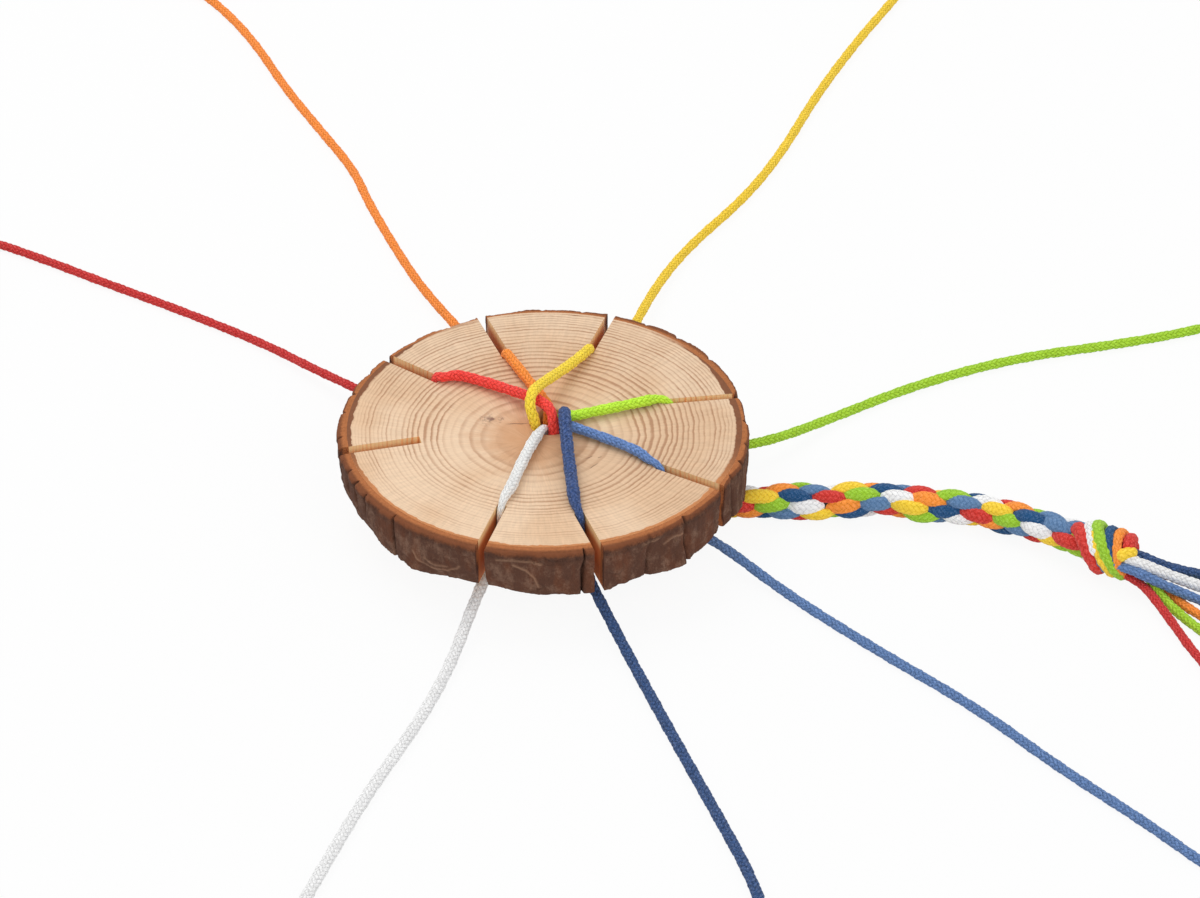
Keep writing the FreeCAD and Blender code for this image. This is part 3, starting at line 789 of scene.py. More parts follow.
class Growth:
    # a Geometry Nodes tree under construction
    def __init__(self, name):
        self.tree = bpy.data.node_groups.new(name, "GeometryNodeTree")
        for way in ("OUTPUT", "INPUT"):
            self.tree.interface.new_socket("Geometry", in_out=way,
                                           socket_type="NodeSocketGeometry")
        self.given = self.tree.nodes.new("NodeGroupInput")
        self.values = {}

    def input(self, name, kind, value):
        socket = self.tree.interface.new_socket(name, in_out="INPUT",
                                                socket_type="NodeSocket" + kind)
        self.values[socket.identifier] = value
        return self.given.outputs[name]

    def node(self, kind, settings=None, sockets=None, output=0):
        made = self.tree.nodes.new(kind)
        for key, value in (settings or {}).items():
            setattr(made, key, value)
        for key, value in (sockets or {}).items():
            for one in (value if isinstance(value, list) else [value]):
                if isinstance(one, bpy.types.NodeSocket):
                    self.tree.links.new(one, made.inputs[key])
                else:
                    made.inputs[key].default_value = one
        return made.outputs[output]

    def math(self, operation, *values):
        return self.node("ShaderNodeMath", {"operation": operation}, dict(enumerate(values)))

    def rotated(self, rotation, axis, angle):
        # a rotation turned further about one of its own axes
        by = self.node("FunctionNodeAxisAngleToRotation", None, {"Axis": axis, "Angle": angle})
        return self.node("FunctionNodeRotateRotation", {"rotation_space": "LOCAL"}, {
            "Rotation": rotation, "Rotate By": by})

    def grow(self, base, name, geometry):
        # the finished mesh: the modifier is put on the base, evaluated and removed
        end = self.tree.nodes.new("NodeGroupOutput")
        self.tree.links.new(geometry, end.inputs[0])
        modifier = base.modifiers.new("growth", "NODES")
        modifier.node_group = self.tree
        for identifier, value in self.values.items():
            modifier[identifier] = value
        shape = base.evaluated_get(bpy.context.evaluated_depsgraph_get())
        mesh = bpy.data.meshes.new_from_object(shape)
        base.modifiers.remove(modifier)
        made = bpy.data.objects.new(name, mesh)
        bpy.context.scene.collection.objects.link(made)
        return made


def braidTree(stitch, material):
    # stitches on points along the line, each turned to its row and a little out of true, with
    # a near-black core inside them, painted shade that shows between the stitches
    b = braid
    growth = Growth("braid")
    spacing = growth.input("Spacing", "Float", b["spacing"] * mm)
    turn = growth.input("First row", "Float", math.radians(b["turn"]))
    first = growth.input("First stitch", "Int", b["firstIndex"])
    tilt = growth.input("Tilt", "Float", math.radians(b["tilt"]))
    core = growth.input("Core radius", "Float", b["coreDiameter"] / 2 * mm)
    seed = growth.input("Seed", "Int", b["seed"])
    template = growth.input("Stitch", "Object", stitch)
    cottonInput = growth.input("Material", "Material", material)
    line = growth.node("GeometryNodeMeshToCurve", None, {0: growth.given.outputs["Geometry"]})
    line = growth.node("GeometryNodeSetCurveNormal", {"mode": "Z_UP"}, {"Curve": line})
    dots = growth.tree.nodes.new("GeometryNodeCurveToPoints")
    dots.mode = "LENGTH"
    growth.tree.links.new(line, dots.inputs["Curve"])
    growth.tree.links.new(spacing, dots.inputs["Length"])

    index = growth.math("ADD", growth.node("GeometryNodeInputIndex"), first)
    row = growth.math("MODULO", growth.math("MULTIPLY", index, b["rowStep"]), b["rows"])
    angle = growth.math("MULTIPLY", row, math.radians(360 / b["rows"]))
    lean = growth.node("FunctionNodeRandomValue", {"data_type": "FLOAT"}, {
        2: growth.math("MULTIPLY", tilt, -1.0), 3: tilt, "Seed": seed}, 1)
    turned = growth.rotated(dots.outputs["Rotation"], (0, 0, 1), growth.math("ADD", angle, turn))
    turned = growth.rotated(turned, (1, 0, 0), lean)
    size = growth.node("FunctionNodeRandomValue", {"data_type": "FLOAT"}, {
        2: b["sizes"][0], 3: b["sizes"][1], "Seed": growth.math("ADD", seed, 1)}, 1)
    shape = growth.node("GeometryNodeObjectInfo", {"transform_space": "ORIGINAL"},
                        {"Object": template}, 4)
    stitches = growth.node("GeometryNodeInstanceOnPoints", None, {
        "Points": dots.outputs["Points"], "Instance": shape, "Rotation": turned, "Scale": size})
    moved = growth.node("FunctionNodeRandomValue", {"data_type": "FLOAT_VECTOR"}, {
        0: [tuple(-v * mm for v in b["jitter"])], 1: [tuple(v * mm for v in b["jitter"])],
        "Seed": growth.math("ADD", seed, 2)}, 0)
    stitches = growth.node("GeometryNodeTranslateInstances", None, {
        "Instances": stitches, "Translation": moved, "Local Space": True})

    # each cord's colour in turn, with its painted shade, apart from the stitches that are pulled
    # out of the order
    chooser = growth.tree.nodes.new("GeometryNodeIndexSwitch")
    chooser.data_type = "RGBA"
    count = len(b["order"])
    while len(chooser.index_switch_items) < count:
        chooser.index_switch_items.new()
    for n, name in enumerate(b["order"]):
        chooser.inputs[n + 1].default_value = linear(b["shadedDyes"][name])
    chosen = growth.math("MODULO", index, float(count))
    for number, name in b["pulled"].items():
        other = b["order"].index(name) - number % count
        here = growth.math("COMPARE", index, float(number), 0.1)
        chosen = growth.math("ADD", chosen, growth.math("MULTIPLY", here, float(other)))
    growth.tree.links.new(growth.math("ROUND", chosen), chooser.inputs[0])
    stitches = growth.node("GeometryNodeStoreNamedAttribute",
                           {"data_type": "FLOAT_COLOR", "domain": "INSTANCE"},
                           {"Geometry": stitches, "Name": "dye", "Value": chooser.outputs[0]})

    # the core, near black: painted shade between the stitches
    ring = growth.node("GeometryNodeCurvePrimitiveCircle", None, {
        "Resolution": b["coreSides"], "Radius": core})
    inside = growth.node("GeometryNodeCurveToMesh", None, {
        "Curve": line, "Profile Curve": ring, "Fill Caps": True})
    inside = growth.node("GeometryNodeStoreNamedAttribute", {"data_type": "FLOAT_COLOR"}, {
        "Geometry": inside, "Name": "dye", "Value": b["coreColour"]})
    both = growth.node("GeometryNodeJoinGeometry", None, {0: [inside, stitches]})
    real = growth.node("GeometryNodeRealizeInstances", None, {0: both})
    return growth, growth.node("GeometryNodeSetMaterial", None, {0: real, "Material": cottonInput})


# The knot: cords wound round a barrel. For each: colour, from where to where along the
# barrel, from which turn to which (-90 is on top, 0 faces the camera), how far the ring leans
# to each side, how far out it lies and its thickness
wholeTurn = (150, 522)
wraps = [
    ("red", (-3.3, -3.3), wholeTurn, 3.0, -0.2, 3.2),
    ("light_blue", (-2.1, -2.1), wholeTurn, 3.0, -0.35, 2.1),
    ("white", (-1.4, -1.4), (-215, 25), 2.8, 0.15, 2.4),
    ("yellow", (-0.6, -0.6), (-40, 215), 3.3, 0.15, 2.4),
    ("green", (0.8, 0.8), wholeTurn, 3.6, 0.35, 2.7),
    ("dark_blue", (2.1, 2.1), wholeTurn, 2.0, 0.1, 2.3),
    ("orange", (3.5, 3.5), wholeTurn, 1.4, 0.45, 2.1),
    ("red", (3.9, 5.3), (-112, -20), 0.0, 0.25, 2.8),
    ("yellow", (3.7, 6.7), (14, -30), 0.0, 0.6, 2.6),
    ("red", (4.4, 4.4), (60, 250), 0.0, -0.2, 2.6),
]
# slimmest is the least share of its radius, squared, that the barrel keeps towards its ends
barrel = {"halfLength": 7.6, "radius": 3.7, "slimmest": 0.12, "drop": 0.2, "steps": 90,
          "facing": 40.0}


def makeKnot(material):
    x, y = knot["centre"]
    centre = np.array([x, y, level["table"] + knot["diameter"] / 2 - barrel["drop"]])
    facing = math.radians(barrel["facing"])
    axis, sideways = ahead(knot["bearing"]), ahead(knot["bearing"] - 90)
    toCamera = sideways * math.cos(facing) + np.array([0, 0, math.sin(facing)])
    upwards = np.cross(toCamera, axis)
    upwards = upwards * np.sign(upwards[2])
    allPoints, allFaces, allPlaces, shadedDyes = [], [], [], []
    for n, (name, (first, last), (begin, end), lean, out, thick) in enumerate(wraps):
        turn = np.radians(np.linspace(begin, end, barrel["steps"]))
        along = np.linspace(first, last, barrel["steps"]) + lean * np.sin(turn)
        slim = np.clip(1 - (along / barrel["halfLength"]) ** 2, barrel["slimmest"], 1)
        radius = barrel["radius"] * np.sqrt(slim) + out
        line = (centre + axis * along[:, None] + (toCamera * np.cos(turn)[:, None]
                - upwards * np.sin(turn)[:, None]) * radius[:, None])
        points, faces, places, _ = plaitedTube(line, thick, n + plait["seeds"]["wrap"])
        before = sum(map(len, allPoints))
        allFaces += [tuple(before + k for k in face) for face in faces]
        allPoints.append(points)
        allPlaces += places
        # each wrap has the cord's braid colour, with its painted shade
        shadedDyes.append(np.tile(linear(braid["shadedDyes"][name]), (len(points), 1)))
    return makeMesh("knot_wraps", np.concatenate(allPoints), allFaces, material,
                    {"dye": np.concatenate(shadedDyes)}, plaitMap=allPlaces)


def makeBraid():
    material = cottonMaterial("braided_cotton", cottonLook["braidLines"], cottonLook["fluff"])
    points, faces, places = stitchShape()
    template = makeMesh("stitch", points, faces, material, plaitMap=places)
    foot = level["face"] - cordFit["braidRecess"]
    x, y = hole["x"], hole["y"]
    route = [(x, y, foot), (x, y, level["table"] + braid["elbow"])]
    route += [aboveTable(p) for p in braid["route"]]
    middle = (*knot["centre"], level["table"] + knot["diameter"] / 2)
    line, _ = evenly(smoothLine(route + [middle]), braid["lineStep"])
    base = bpy.data.meshes.new("braid_line")
    base.from_pydata((line * mm).tolist(), [(n, n + 1) for n in range(len(line) - 1)], [])
    base = bpy.data.objects.new("braid_line", base)
    bpy.context.scene.collection.objects.link(base)
    growth, geometry = braidTree(template, material)
    piece = growth.grow(base, "braid_stitches", geometry)
    bpy.data.objects.remove(base)
    bpy.data.objects.remove(template)
    piece.data.polygons.foreach_set("use_smooth", [True] * len(piece.data.polygons))
    wound = makeKnot(material)
    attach(wound, "root")
    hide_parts("knot")
    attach(piece, "root")
    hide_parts("braid")
    print("braid", round(lengthOf(line), 1), "mm long")


makeBraid()
print("braid and knot")

# The bark. Cracks run down it, each a bearing, how much of the thickness it goes in, and its
# width; those at the front are where the photograph has them.
bark = {
    "pieces": ("front_left", "front", "front_right", "right", "back_right", "back",
               "back_left", "left"),
    # the empty slot, then the cords' slots that follow it round
    "emptySlot": (193.9, -2.2, 2.2),
    "slotOrder": ("white", "dark_blue", "light_blue", "green", "yellow", "orange", "red"),
    "woodRadius": 38.3, "woodCentre": (0.4, 0.6), "rim": 40.0,
    "waveTwo": (0.45, 50.0), "waveThree": (0.45, 57.0),
    "cracks": [(199.5, 0.4, 0.5), (206.0, 0.6, 0.5), (212.5, 0.35, 0.4), (225.3, 0.5, 0.45),
               (281.7, 0.65, 0.5), (301.0, 0.3, 0.5), (313.8, 0.55, 0.45), (337.0, 0.4, 0.5),
               (344.5, 0.6, 0.5), (353.0, 0.35, 0.5), (4.0, 0.5, 0.5), (17.0, 0.4, 0.6),
               (36.0, 0.35, 0.6), (49.0, 0.2, 0.5), (60.0, 0.25, 0.5), (79.0, 0.15, 0.5),
               (90.0, 0.25, 0.5), (119.0, 0.3, 0.5), (131.0, 0.35, 0.5), (152.0, 0.35, 0.5),
               (163.0, 0.6, 0.6), (172.0, 0.4, 0.5), (184.0, 0.55, 0.5)],
    # how far the foot lies in and the whole wall stands out, by bearing
    "foot": [(190, 1.2), (205, 2.2), (212, 1.8), (226, 0.6), (232, -0.3), (244, 1.9), (257, 2.0),
             (263, 0.8), (273, 0.5), (280, 0.0), (289, 0.0), (292, 1.0), (302, 0.0), (307, -0.7),
             (313, -1.0), (317, 0.1), (325, -0.3), (330, 0.9), (345, -0.4), (355, 0.4)],
    "bulge": [(0, 0.9), (20, 0.4), (60, 0.7), (90, 1.15), (115, 0.95), (150, 0.1), (175, -0.35),
              (190, -0.3), (205, 0.1), (300, 0.0), (320, 0.3), (345, 1.0)],
    # edges of thin scales: lines of (bearing, height)
    "scales": [
        [(232.5, -0.4), (234, -2.0), (238, -2.9), (243, -2.8), (246, -1.6), (247, -0.6)],
        [(236, -1.2), (239, -1.9), (243, -1.7)],
        [(262.5, 2.2), (266, 1.2), (268.3, -0.6), (269.3, -3.0)],
        [(258, 3.0), (262, 3.3), (267, 3.2), (270, 2.6)],
        [(306, 1.5), (309, 2.2), (312.5, 1.8)],
        [(299, 3.2), (304, 3.4)],
        [(20, 1.0), (24, -1.5), (30, -2.2), (34, -0.8)],
        [(66, 2.0), (70, 0.0), (76, -1.0)],
        [(100, 0.5), (105, -1.8), (111, -2.0), (114, 0.2)],
        [(140, 1.5), (146, 0.6)],
    ],
    # ripples: how many round the rim, how tall one is, a seed of its own, and its lean
    "ripples": {"sway": (60, 4.0, 1, 0.0), "width": (40, 3.0, 2, 0.0),
                "flake": (36, 5.5, 3, 0.06), "crumb": (90, 2.4, 4, 0.0),
                "grain": (640, 2.6, 5, 0.0), "pit": (380, 0.7, 6, 0.0),
                "scallop": (44, 1.0, 7, 0.0), "top": (150, 1.0, 8, 0.0),
                "foot": (52, 1.0, 9, 0.0)},
    # a crack: how far it sways, how its width varies, its share of its depth, how dark its painted
    # shade is for its depth, and shoulders
    "sway": 0.45, "crackWidth": (0.7, 0.5), "crackDepth": 0.75, "crackShade": 1.8,
    "shoulder": 0.12, "shoulderWidth": 4.5,
    # layers of flakes: where each ends, over how much, and how much of a step it is
    "flakeLevels": ((0.05, 0.10, 1.0), (-0.42, 0.08, 0.8)), "crumbShare": 0.45,
    # flakeLine: a painted shadow along the upper layer's edge
    "flakeLine": (0.07, 0.05, 0.5),  # the dark line at the upper layer's edge
    "plateStep": 0.30, "flakeStep": 0.24, "grainDepth": 0.07, "pitDepth": 0.10,
    "scaleStep": 0.16, "scaleWidth": 0.22,
    "footHeight": 5.5, "footPower": 1.7, "footThickness": 0.35, "scallop": 0.35,
    "topDrop": 0.35, "topRound": (0.55, 0.45), "topWorn": (0.72, 0.2), "footLift": 0.9,
    "worn": 0.35, "wornHeight": 0.7,  # how the top edge of the wall is worn back
    "thinnest": 0.3, "overWood": 0.03, "overFace": 0.02,
    "columnStep": 0.25, "wallRows": 36, "faceRows": 6, "seed": 5, "sharpAngle": 50,
    "innerColour": (180, 111, 66), "sawnColour": (128, 76, 46),
    "woodColour": (236, 202, 168), "clearSide": 84.0,  # where the wood runs on into the bark
    "plateColour": (92, 60, 46), "redColour": (104, 63, 44), "greyColour": (140, 108, 89),
    # crackColour: painted shade in the cracks and under the flakes' edges, and the dark crumbs
    # below the top
    "crackColour": (38, 22, 16), "scaleColour": (178, 138, 110), "lipColour": (138, 80, 48),
    # noises: how many to the millimetre, detail, roughness, and how they are stretched upright
    "grain": (1.9, 4.0, 0.7), "speckle": (4.2, 3.0, 0.75), "patches": (0.28, 2.0),
    "flakes": (0.42, 4.0, 0.7), "stretch": 0.35, "flakeStretch": 0.7,
    "relief": 0.16,
}


def byBearing(table, bearing):
    # a value from a table of (bearing, value)
    at, values = zip(*table)
    return np.interp(bearing % 360, at, values, period=360)


def rimRadius(bearing):
    two, twoAt = bark["waveTwo"]
    three, threeAt = bark["waveThree"]
    return (bark["rim"] + byBearing(bark["bulge"], bearing)
            + two * np.cos(np.radians(2 * (bearing - twoAt)))
            + three * np.cos(np.radians(3 * (bearing - threeAt))))


def woodRadius(bearing):
    x, y = bark["woodCentre"]
    turn = np.radians(bearing)
    forward, across = x * np.cos(turn) + y * np.sin(turn), y * np.cos(turn) - x * np.sin(turn)
    return forward + np.sqrt(bark["woodRadius"] ** 2 - across ** 2)


def roundRim(bearing, start):
    # millimetres round the rim from one bearing to another, the short way
    return ((bearing - start + 180) % 360 - 180) * math.radians(1) * bark["rim"]


def ramp(value, start, over):
    # 0 up to the start, then up to 1 over the length given
    return np.clip((value - start) / over, 0, 1)


def ripple(bearing, height, name):
    # smooth random heights from -1 to 1
    times, tall, seed, lean = bark["ripples"][name]
    u, v = bearing / 360 * times + lean * height, height / tall
    table = np.random.default_rng(bark["seed"] + seed).uniform(-1, 1, (times, 64))
    lowU, lowV = np.floor(u).astype(int), np.floor(v).astype(int)
    fu, fv = u - lowU, v - lowV
    fu, fv = fu * fu * (3 - 2 * fu), fv * fv * (3 - 2 * fv)
    def at(a, b): return table[(lowU + a) % times, (lowV + b) % 64]
    low = at(0, 0) * (1 - fu) + at(1, 0) * fu
    high = at(0, 1) * (1 - fu) + at(1, 1) * fu
    return low * (1 - fv) + high * fv


def scaleEdges(bearing, height):
    # 1 on the edge of a thin scale, fading beside it
    edge = np.zeros_like(bearing)
    for scale in bark["scales"]:
        far = np.full_like(bearing, 99.0)
        for (b0, h0), (b1, h1) in zip(scale, scale[1:]):
            run, rise = (b1 - b0) * math.radians(1) * bark["rim"], h1 - h0
            toX, toY = roundRim(bearing, b0), height - h0
            t = np.clip((toX * run + toY * rise) / (run * run + rise * rise), 0, 1)
            far = np.minimum(far, np.hypot(toX - t * run, toY - t * rise))
        edge = np.maximum(edge, np.exp(-(far / bark["scaleWidth"]) ** 2))
    return edge


def barkRelief(bearing, height):
    # how far the outer face lies inside the rim, and how deep in a crack it is
    b = bark
    crack = np.zeros_like(bearing)
    thickness = rimRadius(bearing) - woodRadius(bearing)
    # plates between the cracks, each at a level of its own
    edges = sorted(c[0] for c in b["cracks"])
    offsets = np.random.default_rng(b["seed"]).uniform(0, 1, len(edges) + 1)
    offsets[-1] = offsets[0]
    inward = b["plateStep"] * offsets[np.searchsorted(edges, bearing % 360)]
    sway = b["sway"] * ripple(bearing, height, "sway")
    least, more = b["crackWidth"]
    for at, depth, width in b["cracks"]:
        away = roundRim(bearing, at) + sway
        narrow = width * (least + more * ripple(bearing, height, "width"))
        inside = np.exp(-(away / narrow) ** 2)
        shoulder = np.exp(-(away / (narrow * b["shoulderWidth"])) ** 2)
        inward += depth * thickness * inside * b["crackDepth"] + b["shoulder"] * shoulder
        # how dark the crack's painted shade is
        crack = np.maximum(crack, inside * min(1, depth * b["crackShade"]))
    # flakes in layers, with a dark line of painted shadow where the upper layer ends
    flakes = ripple(bearing, height, "flake")
    flakes += b["crumbShare"] * ripple(bearing, height, "crumb")
    inward += sum(b["flakeStep"] * share * (1 - ramp(flakes, start, over))
                  for start, over, share in b["flakeLevels"])
    at, width, shade = b["flakeLine"]
    crack = np.maximum(crack, shade * np.exp(-((flakes - at) / width) ** 2))
    edge = scaleEdges(bearing, height)
    inward -= b["scaleStep"] * edge
    inward += b["grainDepth"] * ripple(bearing, height, "grain")
    inward += b["pitDepth"] * np.abs(ripple(bearing, height, "pit"))
    return inward, crack, edge


def barkSection(bearing):
    # one loop round the bark's cross-section at each bearing: radii, heights, whether each
    # point is weathered, how deep in a crack it is and whether it is on the edge of a scale
    b, rows, walls = bark, bark["faceRows"], bark["wallRows"]
    inner = woodRadius(bearing) - b["overWood"]
    top, bottom = level["face"] - b["overFace"], level["underside"] + b["overFace"]
    foot = byBearing(b["foot"], bearing)
    foot = foot + b["scallop"] * ripple(bearing, 0.5, "scallop")
    foot = np.minimum(foot, rimRadius(bearing) - inner - b["footThickness"])
    loop = []

    def add(*values):
        loop.append([value + 0 * bearing for value in values])

    def outerAt(height):
        inward, crack, edge = barkRelief(bearing, height)
        share = np.clip((level["underside"] + b["footHeight"] - height) / b["footHeight"], 0, 1)
        radius = rimRadius(bearing) - inward - foot * share ** b["footPower"]
        lip = ramp(height, level["face"] - b["wornHeight"], b["wornHeight"])
        radius = radius - b["worn"] * lip ** 2
        return np.maximum(radius, inner + b["thinnest"]), crack, edge

    topDrop = b["topDrop"] * (0.6 + 0.5 * ripple(bearing, 3.5, "top"))
    lift = b["footLift"] * np.clip(ripple(bearing, 7.5, "foot"), 0, 1) ** 2
    wallTop, wallFoot = top - topDrop, level["underside"] + lift + b["overFace"]
    outerTop = outerAt(wallTop)[0]
    outerFoot, crackFoot, _ = outerAt(wallFoot)
    # up the wood, out over the face, down the outside and back in underneath
    for n in range(rows):
        add(inner, bottom + (top - bottom) * n / rows, 0, 0, 0)
    for n in range(rows):
        share = n / rows
        add(inner + (outerTop - inner) * share,
            top - topDrop * ramp(share, *b["topRound"]) ** 2, ramp(share, *b["topWorn"]), 0, 0)
    for n in range(walls):
        share = n / walls
        height = wallTop * (1 - share) + wallFoot * share
        radius, crack, edge = outerAt(height)
        add(radius, height, 1, crack, edge)
    for n in range(rows):
        share = n / rows
        add(outerFoot + (inner - outerFoot) * share,
            wallFoot - lift * np.clip(share * 2.0, 0, 1),
            np.clip(1 - share * 3, 0, 1), crackFoot * max(0, 1 - share * 2), 0)
    return [np.array(values) for values in zip(*loop)]


def barkMaterial():
    b = bark
    shader = Shader("bark")
    where = shader.place()
    px, py, up = shader.parts(where, 0, 1, 2)
    x, y = b["woodCentre"]
    fromWood = shader.node("ShaderNodeVectorMath", {"operation": "MULTIPLY"}, {
        0: shader.place(offset=(-x, -y, 0)), 1: (1, 1, 0)})
    radius = shader.node("ShaderNodeVectorMath", {"operation": "LENGTH"}, {0: fromWood}, 1)
    depth = radius - b["woodRadius"]
    stretched = shader.place(scale=(1, 1, b["stretch"]))
    grain = shader.noise(stretched, *b["grain"])
    speckle = shader.noise(where, *b["speckle"])
    patches = shader.noise(stretched, *b["patches"])
    flakes = shader.noise(shader.place(scale=(1, 1, b["flakeStretch"])), *b["flakes"])
    worn, crack, scale = (shader.attribute(name) for name in ("worn", "crack", "scale"))

    # cut through: inner bark, outer bark, and wood where it runs on
    sawn = shader.mix(linear(b["innerColour"]), linear(b["sawnColour"]),
                      (depth + (speckle - 0.5) * 0.9).smooth(0.75, 1.5))
    sawn = shader.tint(sawn, 0.55 + grain * 0.9)
    clear = math.radians(b["clearSide"])
    clear = ((px * math.cos(clear) + py * math.sin(clear)) / b["rim"]).smooth(0.7, 0.95)
    pale = (1 - (depth + (grain - 0.5) * 0.4).smooth(0.45, 0.6)) * clear
    sawn = shader.mix(sawn, shader.tint(linear(b["woodColour"])[:3], 0.8 + speckle * 0.35), pale)

    # the weathered outside: brown to reddish plates with grey flakes, rusty along the top
    face = shader.mix(linear(b["plateColour"]), linear(b["redColour"]), patches.smooth(0.46, 0.66))
    face = shader.mix(face, linear(b["greyColour"]),
                      (flakes + (speckle - 0.5) * 0.3).smooth(0.44, 0.74) * 0.68)
    face = shader.tint(face, 0.34 + grain * 0.5 + speckle * 0.8)
    face = shader.mix(face, linear(b["scaleColour"]), scale * 0.5)
    lip = (up + (flakes - 0.5) * 2.8 + (speckle - 0.5) * 2.8).smooth(
        level["face"] - 1.3, level["face"] - 0.5)
    face = shader.mix(face, linear(b["lipColour"]), lip * 0.8)

    colour = shader.mix(sawn, face, (worn + (speckle - 0.5) * 0.7).smooth(0.35, 0.65))
    crumbs = (up - level["face"] + 1.3 + (patches - 0.5) * 1.8).size()
    crumbs = (1 - crumbs.smooth(0.3, 1.2)) * (speckle + (grain - 0.5) * 0.4).smooth(0.45, 0.6)
    colour = shader.mix(colour, linear(b["crackColour"]), crumbs * 0.6)
    # darker deep in the cracks and along the flakes' edges: painted shade
    colour = shader.mix(colour, linear(b["crackColour"]), crack.smooth(0.15, 1.0) * 0.6)
    relief = shader.relief(grain * 0.6 + speckle * 0.5, b["relief"])
    return shader.finish(
        {"Base Color": colour, "Normal": relief, "Roughness": 0.78 + speckle * 0.2},
        {"Specular IOR Level": 0.25})


def makeBark():
    material = barkMaterial()
    cuts = [bark["emptySlot"]] + [cords[name]["slot"] for name in bark["slotOrder"]]
    for first, last, name in zip(cuts, cuts[1:] + cuts[:1], bark["pieces"]):
        begin = first[0] % 360
        end = begin + (last[0] - first[0]) % 360

        def sawn(radius, t):
            # the bearing at a share of the way from one saw cut to the next
            low = begin + np.degrees(np.arcsin((first[1] + first[2] / 2) / radius))
            high = end + np.degrees(np.arcsin((last[1] - last[2] / 2) / radius))
            return low + (high - low) * t

        columns = math.ceil((end - begin) * math.radians(1) * bark["rim"] / bark["columnStep"])
        t = np.arange(columns + 1) / columns
        radii, heights, worn, cracks, edges = barkSection(sawn(bark["rim"], t))
        turn = np.radians(sawn(radii, t[None, :]))
        points = np.stack([radii * np.cos(turn), radii * np.sin(turn), heights], axis=2)
        loop = len(radii)
        points = points.transpose(1, 0, 2).reshape(-1, 3)
        faces = [(c * loop + k, c * loop + (k + 1) % loop, (c + 1) * loop + (k + 1) % loop,
                  (c + 1) * loop + k) for c in range(columns) for k in range(loop)]
        faces += [tuple(range(loop))[::-1], tuple(columns * loop + k for k in range(loop))]
        piece = makeMesh("bark_piece_" + name, points, faces, material, {
            "worn": worn.T.ravel(), "crack": cracks.T.ravel(), "scale": edges.T.ravel()})
        piece.data.set_sharp_from_angle(angle=math.radians(bark["sharpAngle"]))
        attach(piece, "root")
        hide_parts("bark_" + name)


makeBark()
print("bark")

# The sawn wood: year rings that grow out from the pith to the bark's own round outline
wood = {
    "pith": (-2.0, -4.3), "centre": (0.4, 0.6), "radius": 38.3,
    "ringsInner": 0.3, "ringsOuter": 25.6,  # rings out to a share s: inner * s + outer * s * s
    # how bold the rings are from one share to another
    "bands": [(0.0, 0.19, -0.12), (0.21, 0.34, 0.28), (0.49, 0.71, 0.62), (0.78, 0.80, 0.3),
              (0.865, 0.92, 0.42)],
    "bandFade": 0.015,
    # a ring's line rises and ends within a year, and how bold it is: at least, and by chance
    "lineRise": (0.42, 0.82), "lineEnd": (0.86, 1.0), "boldness": (0.22, 0.26),
    "farBoldness": (0.26, 0.28, 0.5),
    # how far the rings wander off a true round, from broad to fine, and how uneven years are
    "wander": (0.04, 0.016, 0.006), "uneven": (0.31, 0.9),
    # noises: how many to the millimetre, detail, roughness
    "broad": (0.055, 2.0, 0.5), "middle": (0.28, 2.0, 0.5), "fine": (1.3, 2.0, 0.5),
    "patchy": (0.12, 2.0, 0.6), "pores": (7.0, 2.0, 0.7), "wallGrain": (3.2, 3.0, 0.6),
    "paleColour": (240, 210, 178), "warmColour": (231, 195, 159), "coreColour": (211, 158, 115),
    "lineColour": (176, 126, 92),
    # the saw cuts' walls: a painted-light colour near the face, a painted-shade colour further down
    "wallLitColour": (255, 222, 168), "wallLine": (246, 170, 108), "wallShadedColour": (214, 134, 82),
    "wallFade": (2.6, 0.5),
    # the circle outside which the wood has bark's colour, and that colour behind and in front
    "barkEdge": (0.25, 0.1, 37.3), "barkColour": (132, 82, 52), "nearColour": (204, 134, 82),
    "clearSide": 84.0,  # the bearing at which no bark colour reaches on to the wood
    "knotMark": (-10.2, 3.2), "knotColour": (112, 76, 70),
    # a drying crack and three small nicks, each from a place to a place
    "crack": ((-7.4, 1.55), (-2.4, 1.75)), "crackWidth": 0.16,
    "ticks": [((8.2, -9.9), (9.9, -8.8)), ((9.0, -13.2), (10.9, -11.0)),
              ((10.6, -9.6), (11.6, -9.0))],
    "tickWidth": 0.13, "crackColour": (88, 54, 40),
    # how strongly each colour covers the wood
    "lineCover": 0.78, "knotCover": 0.75, "crackCover": 0.85, "tickCover": 0.8,
    "relief": 0.03,
}


def markAlong(shader, x, y, start, end, width):
    # 1 on a fine line from start to end, fading at its sides and ends
    (x0, y0), (x1, y1) = start, end
    length = math.hypot(x1 - x0, y1 - y0)
    c, s = (x1 - x0) / length, (y1 - y0) / length
    along = (x - x0) * c + (y - y0) * s
    across = (y - y0) * c - (x - x0) * s
    inside = along.smooth(0, length * 0.3) * (1 - along.smooth(length * 0.7, length))
    return (1 - across.size().smooth(width * 0.2, width)) * inside


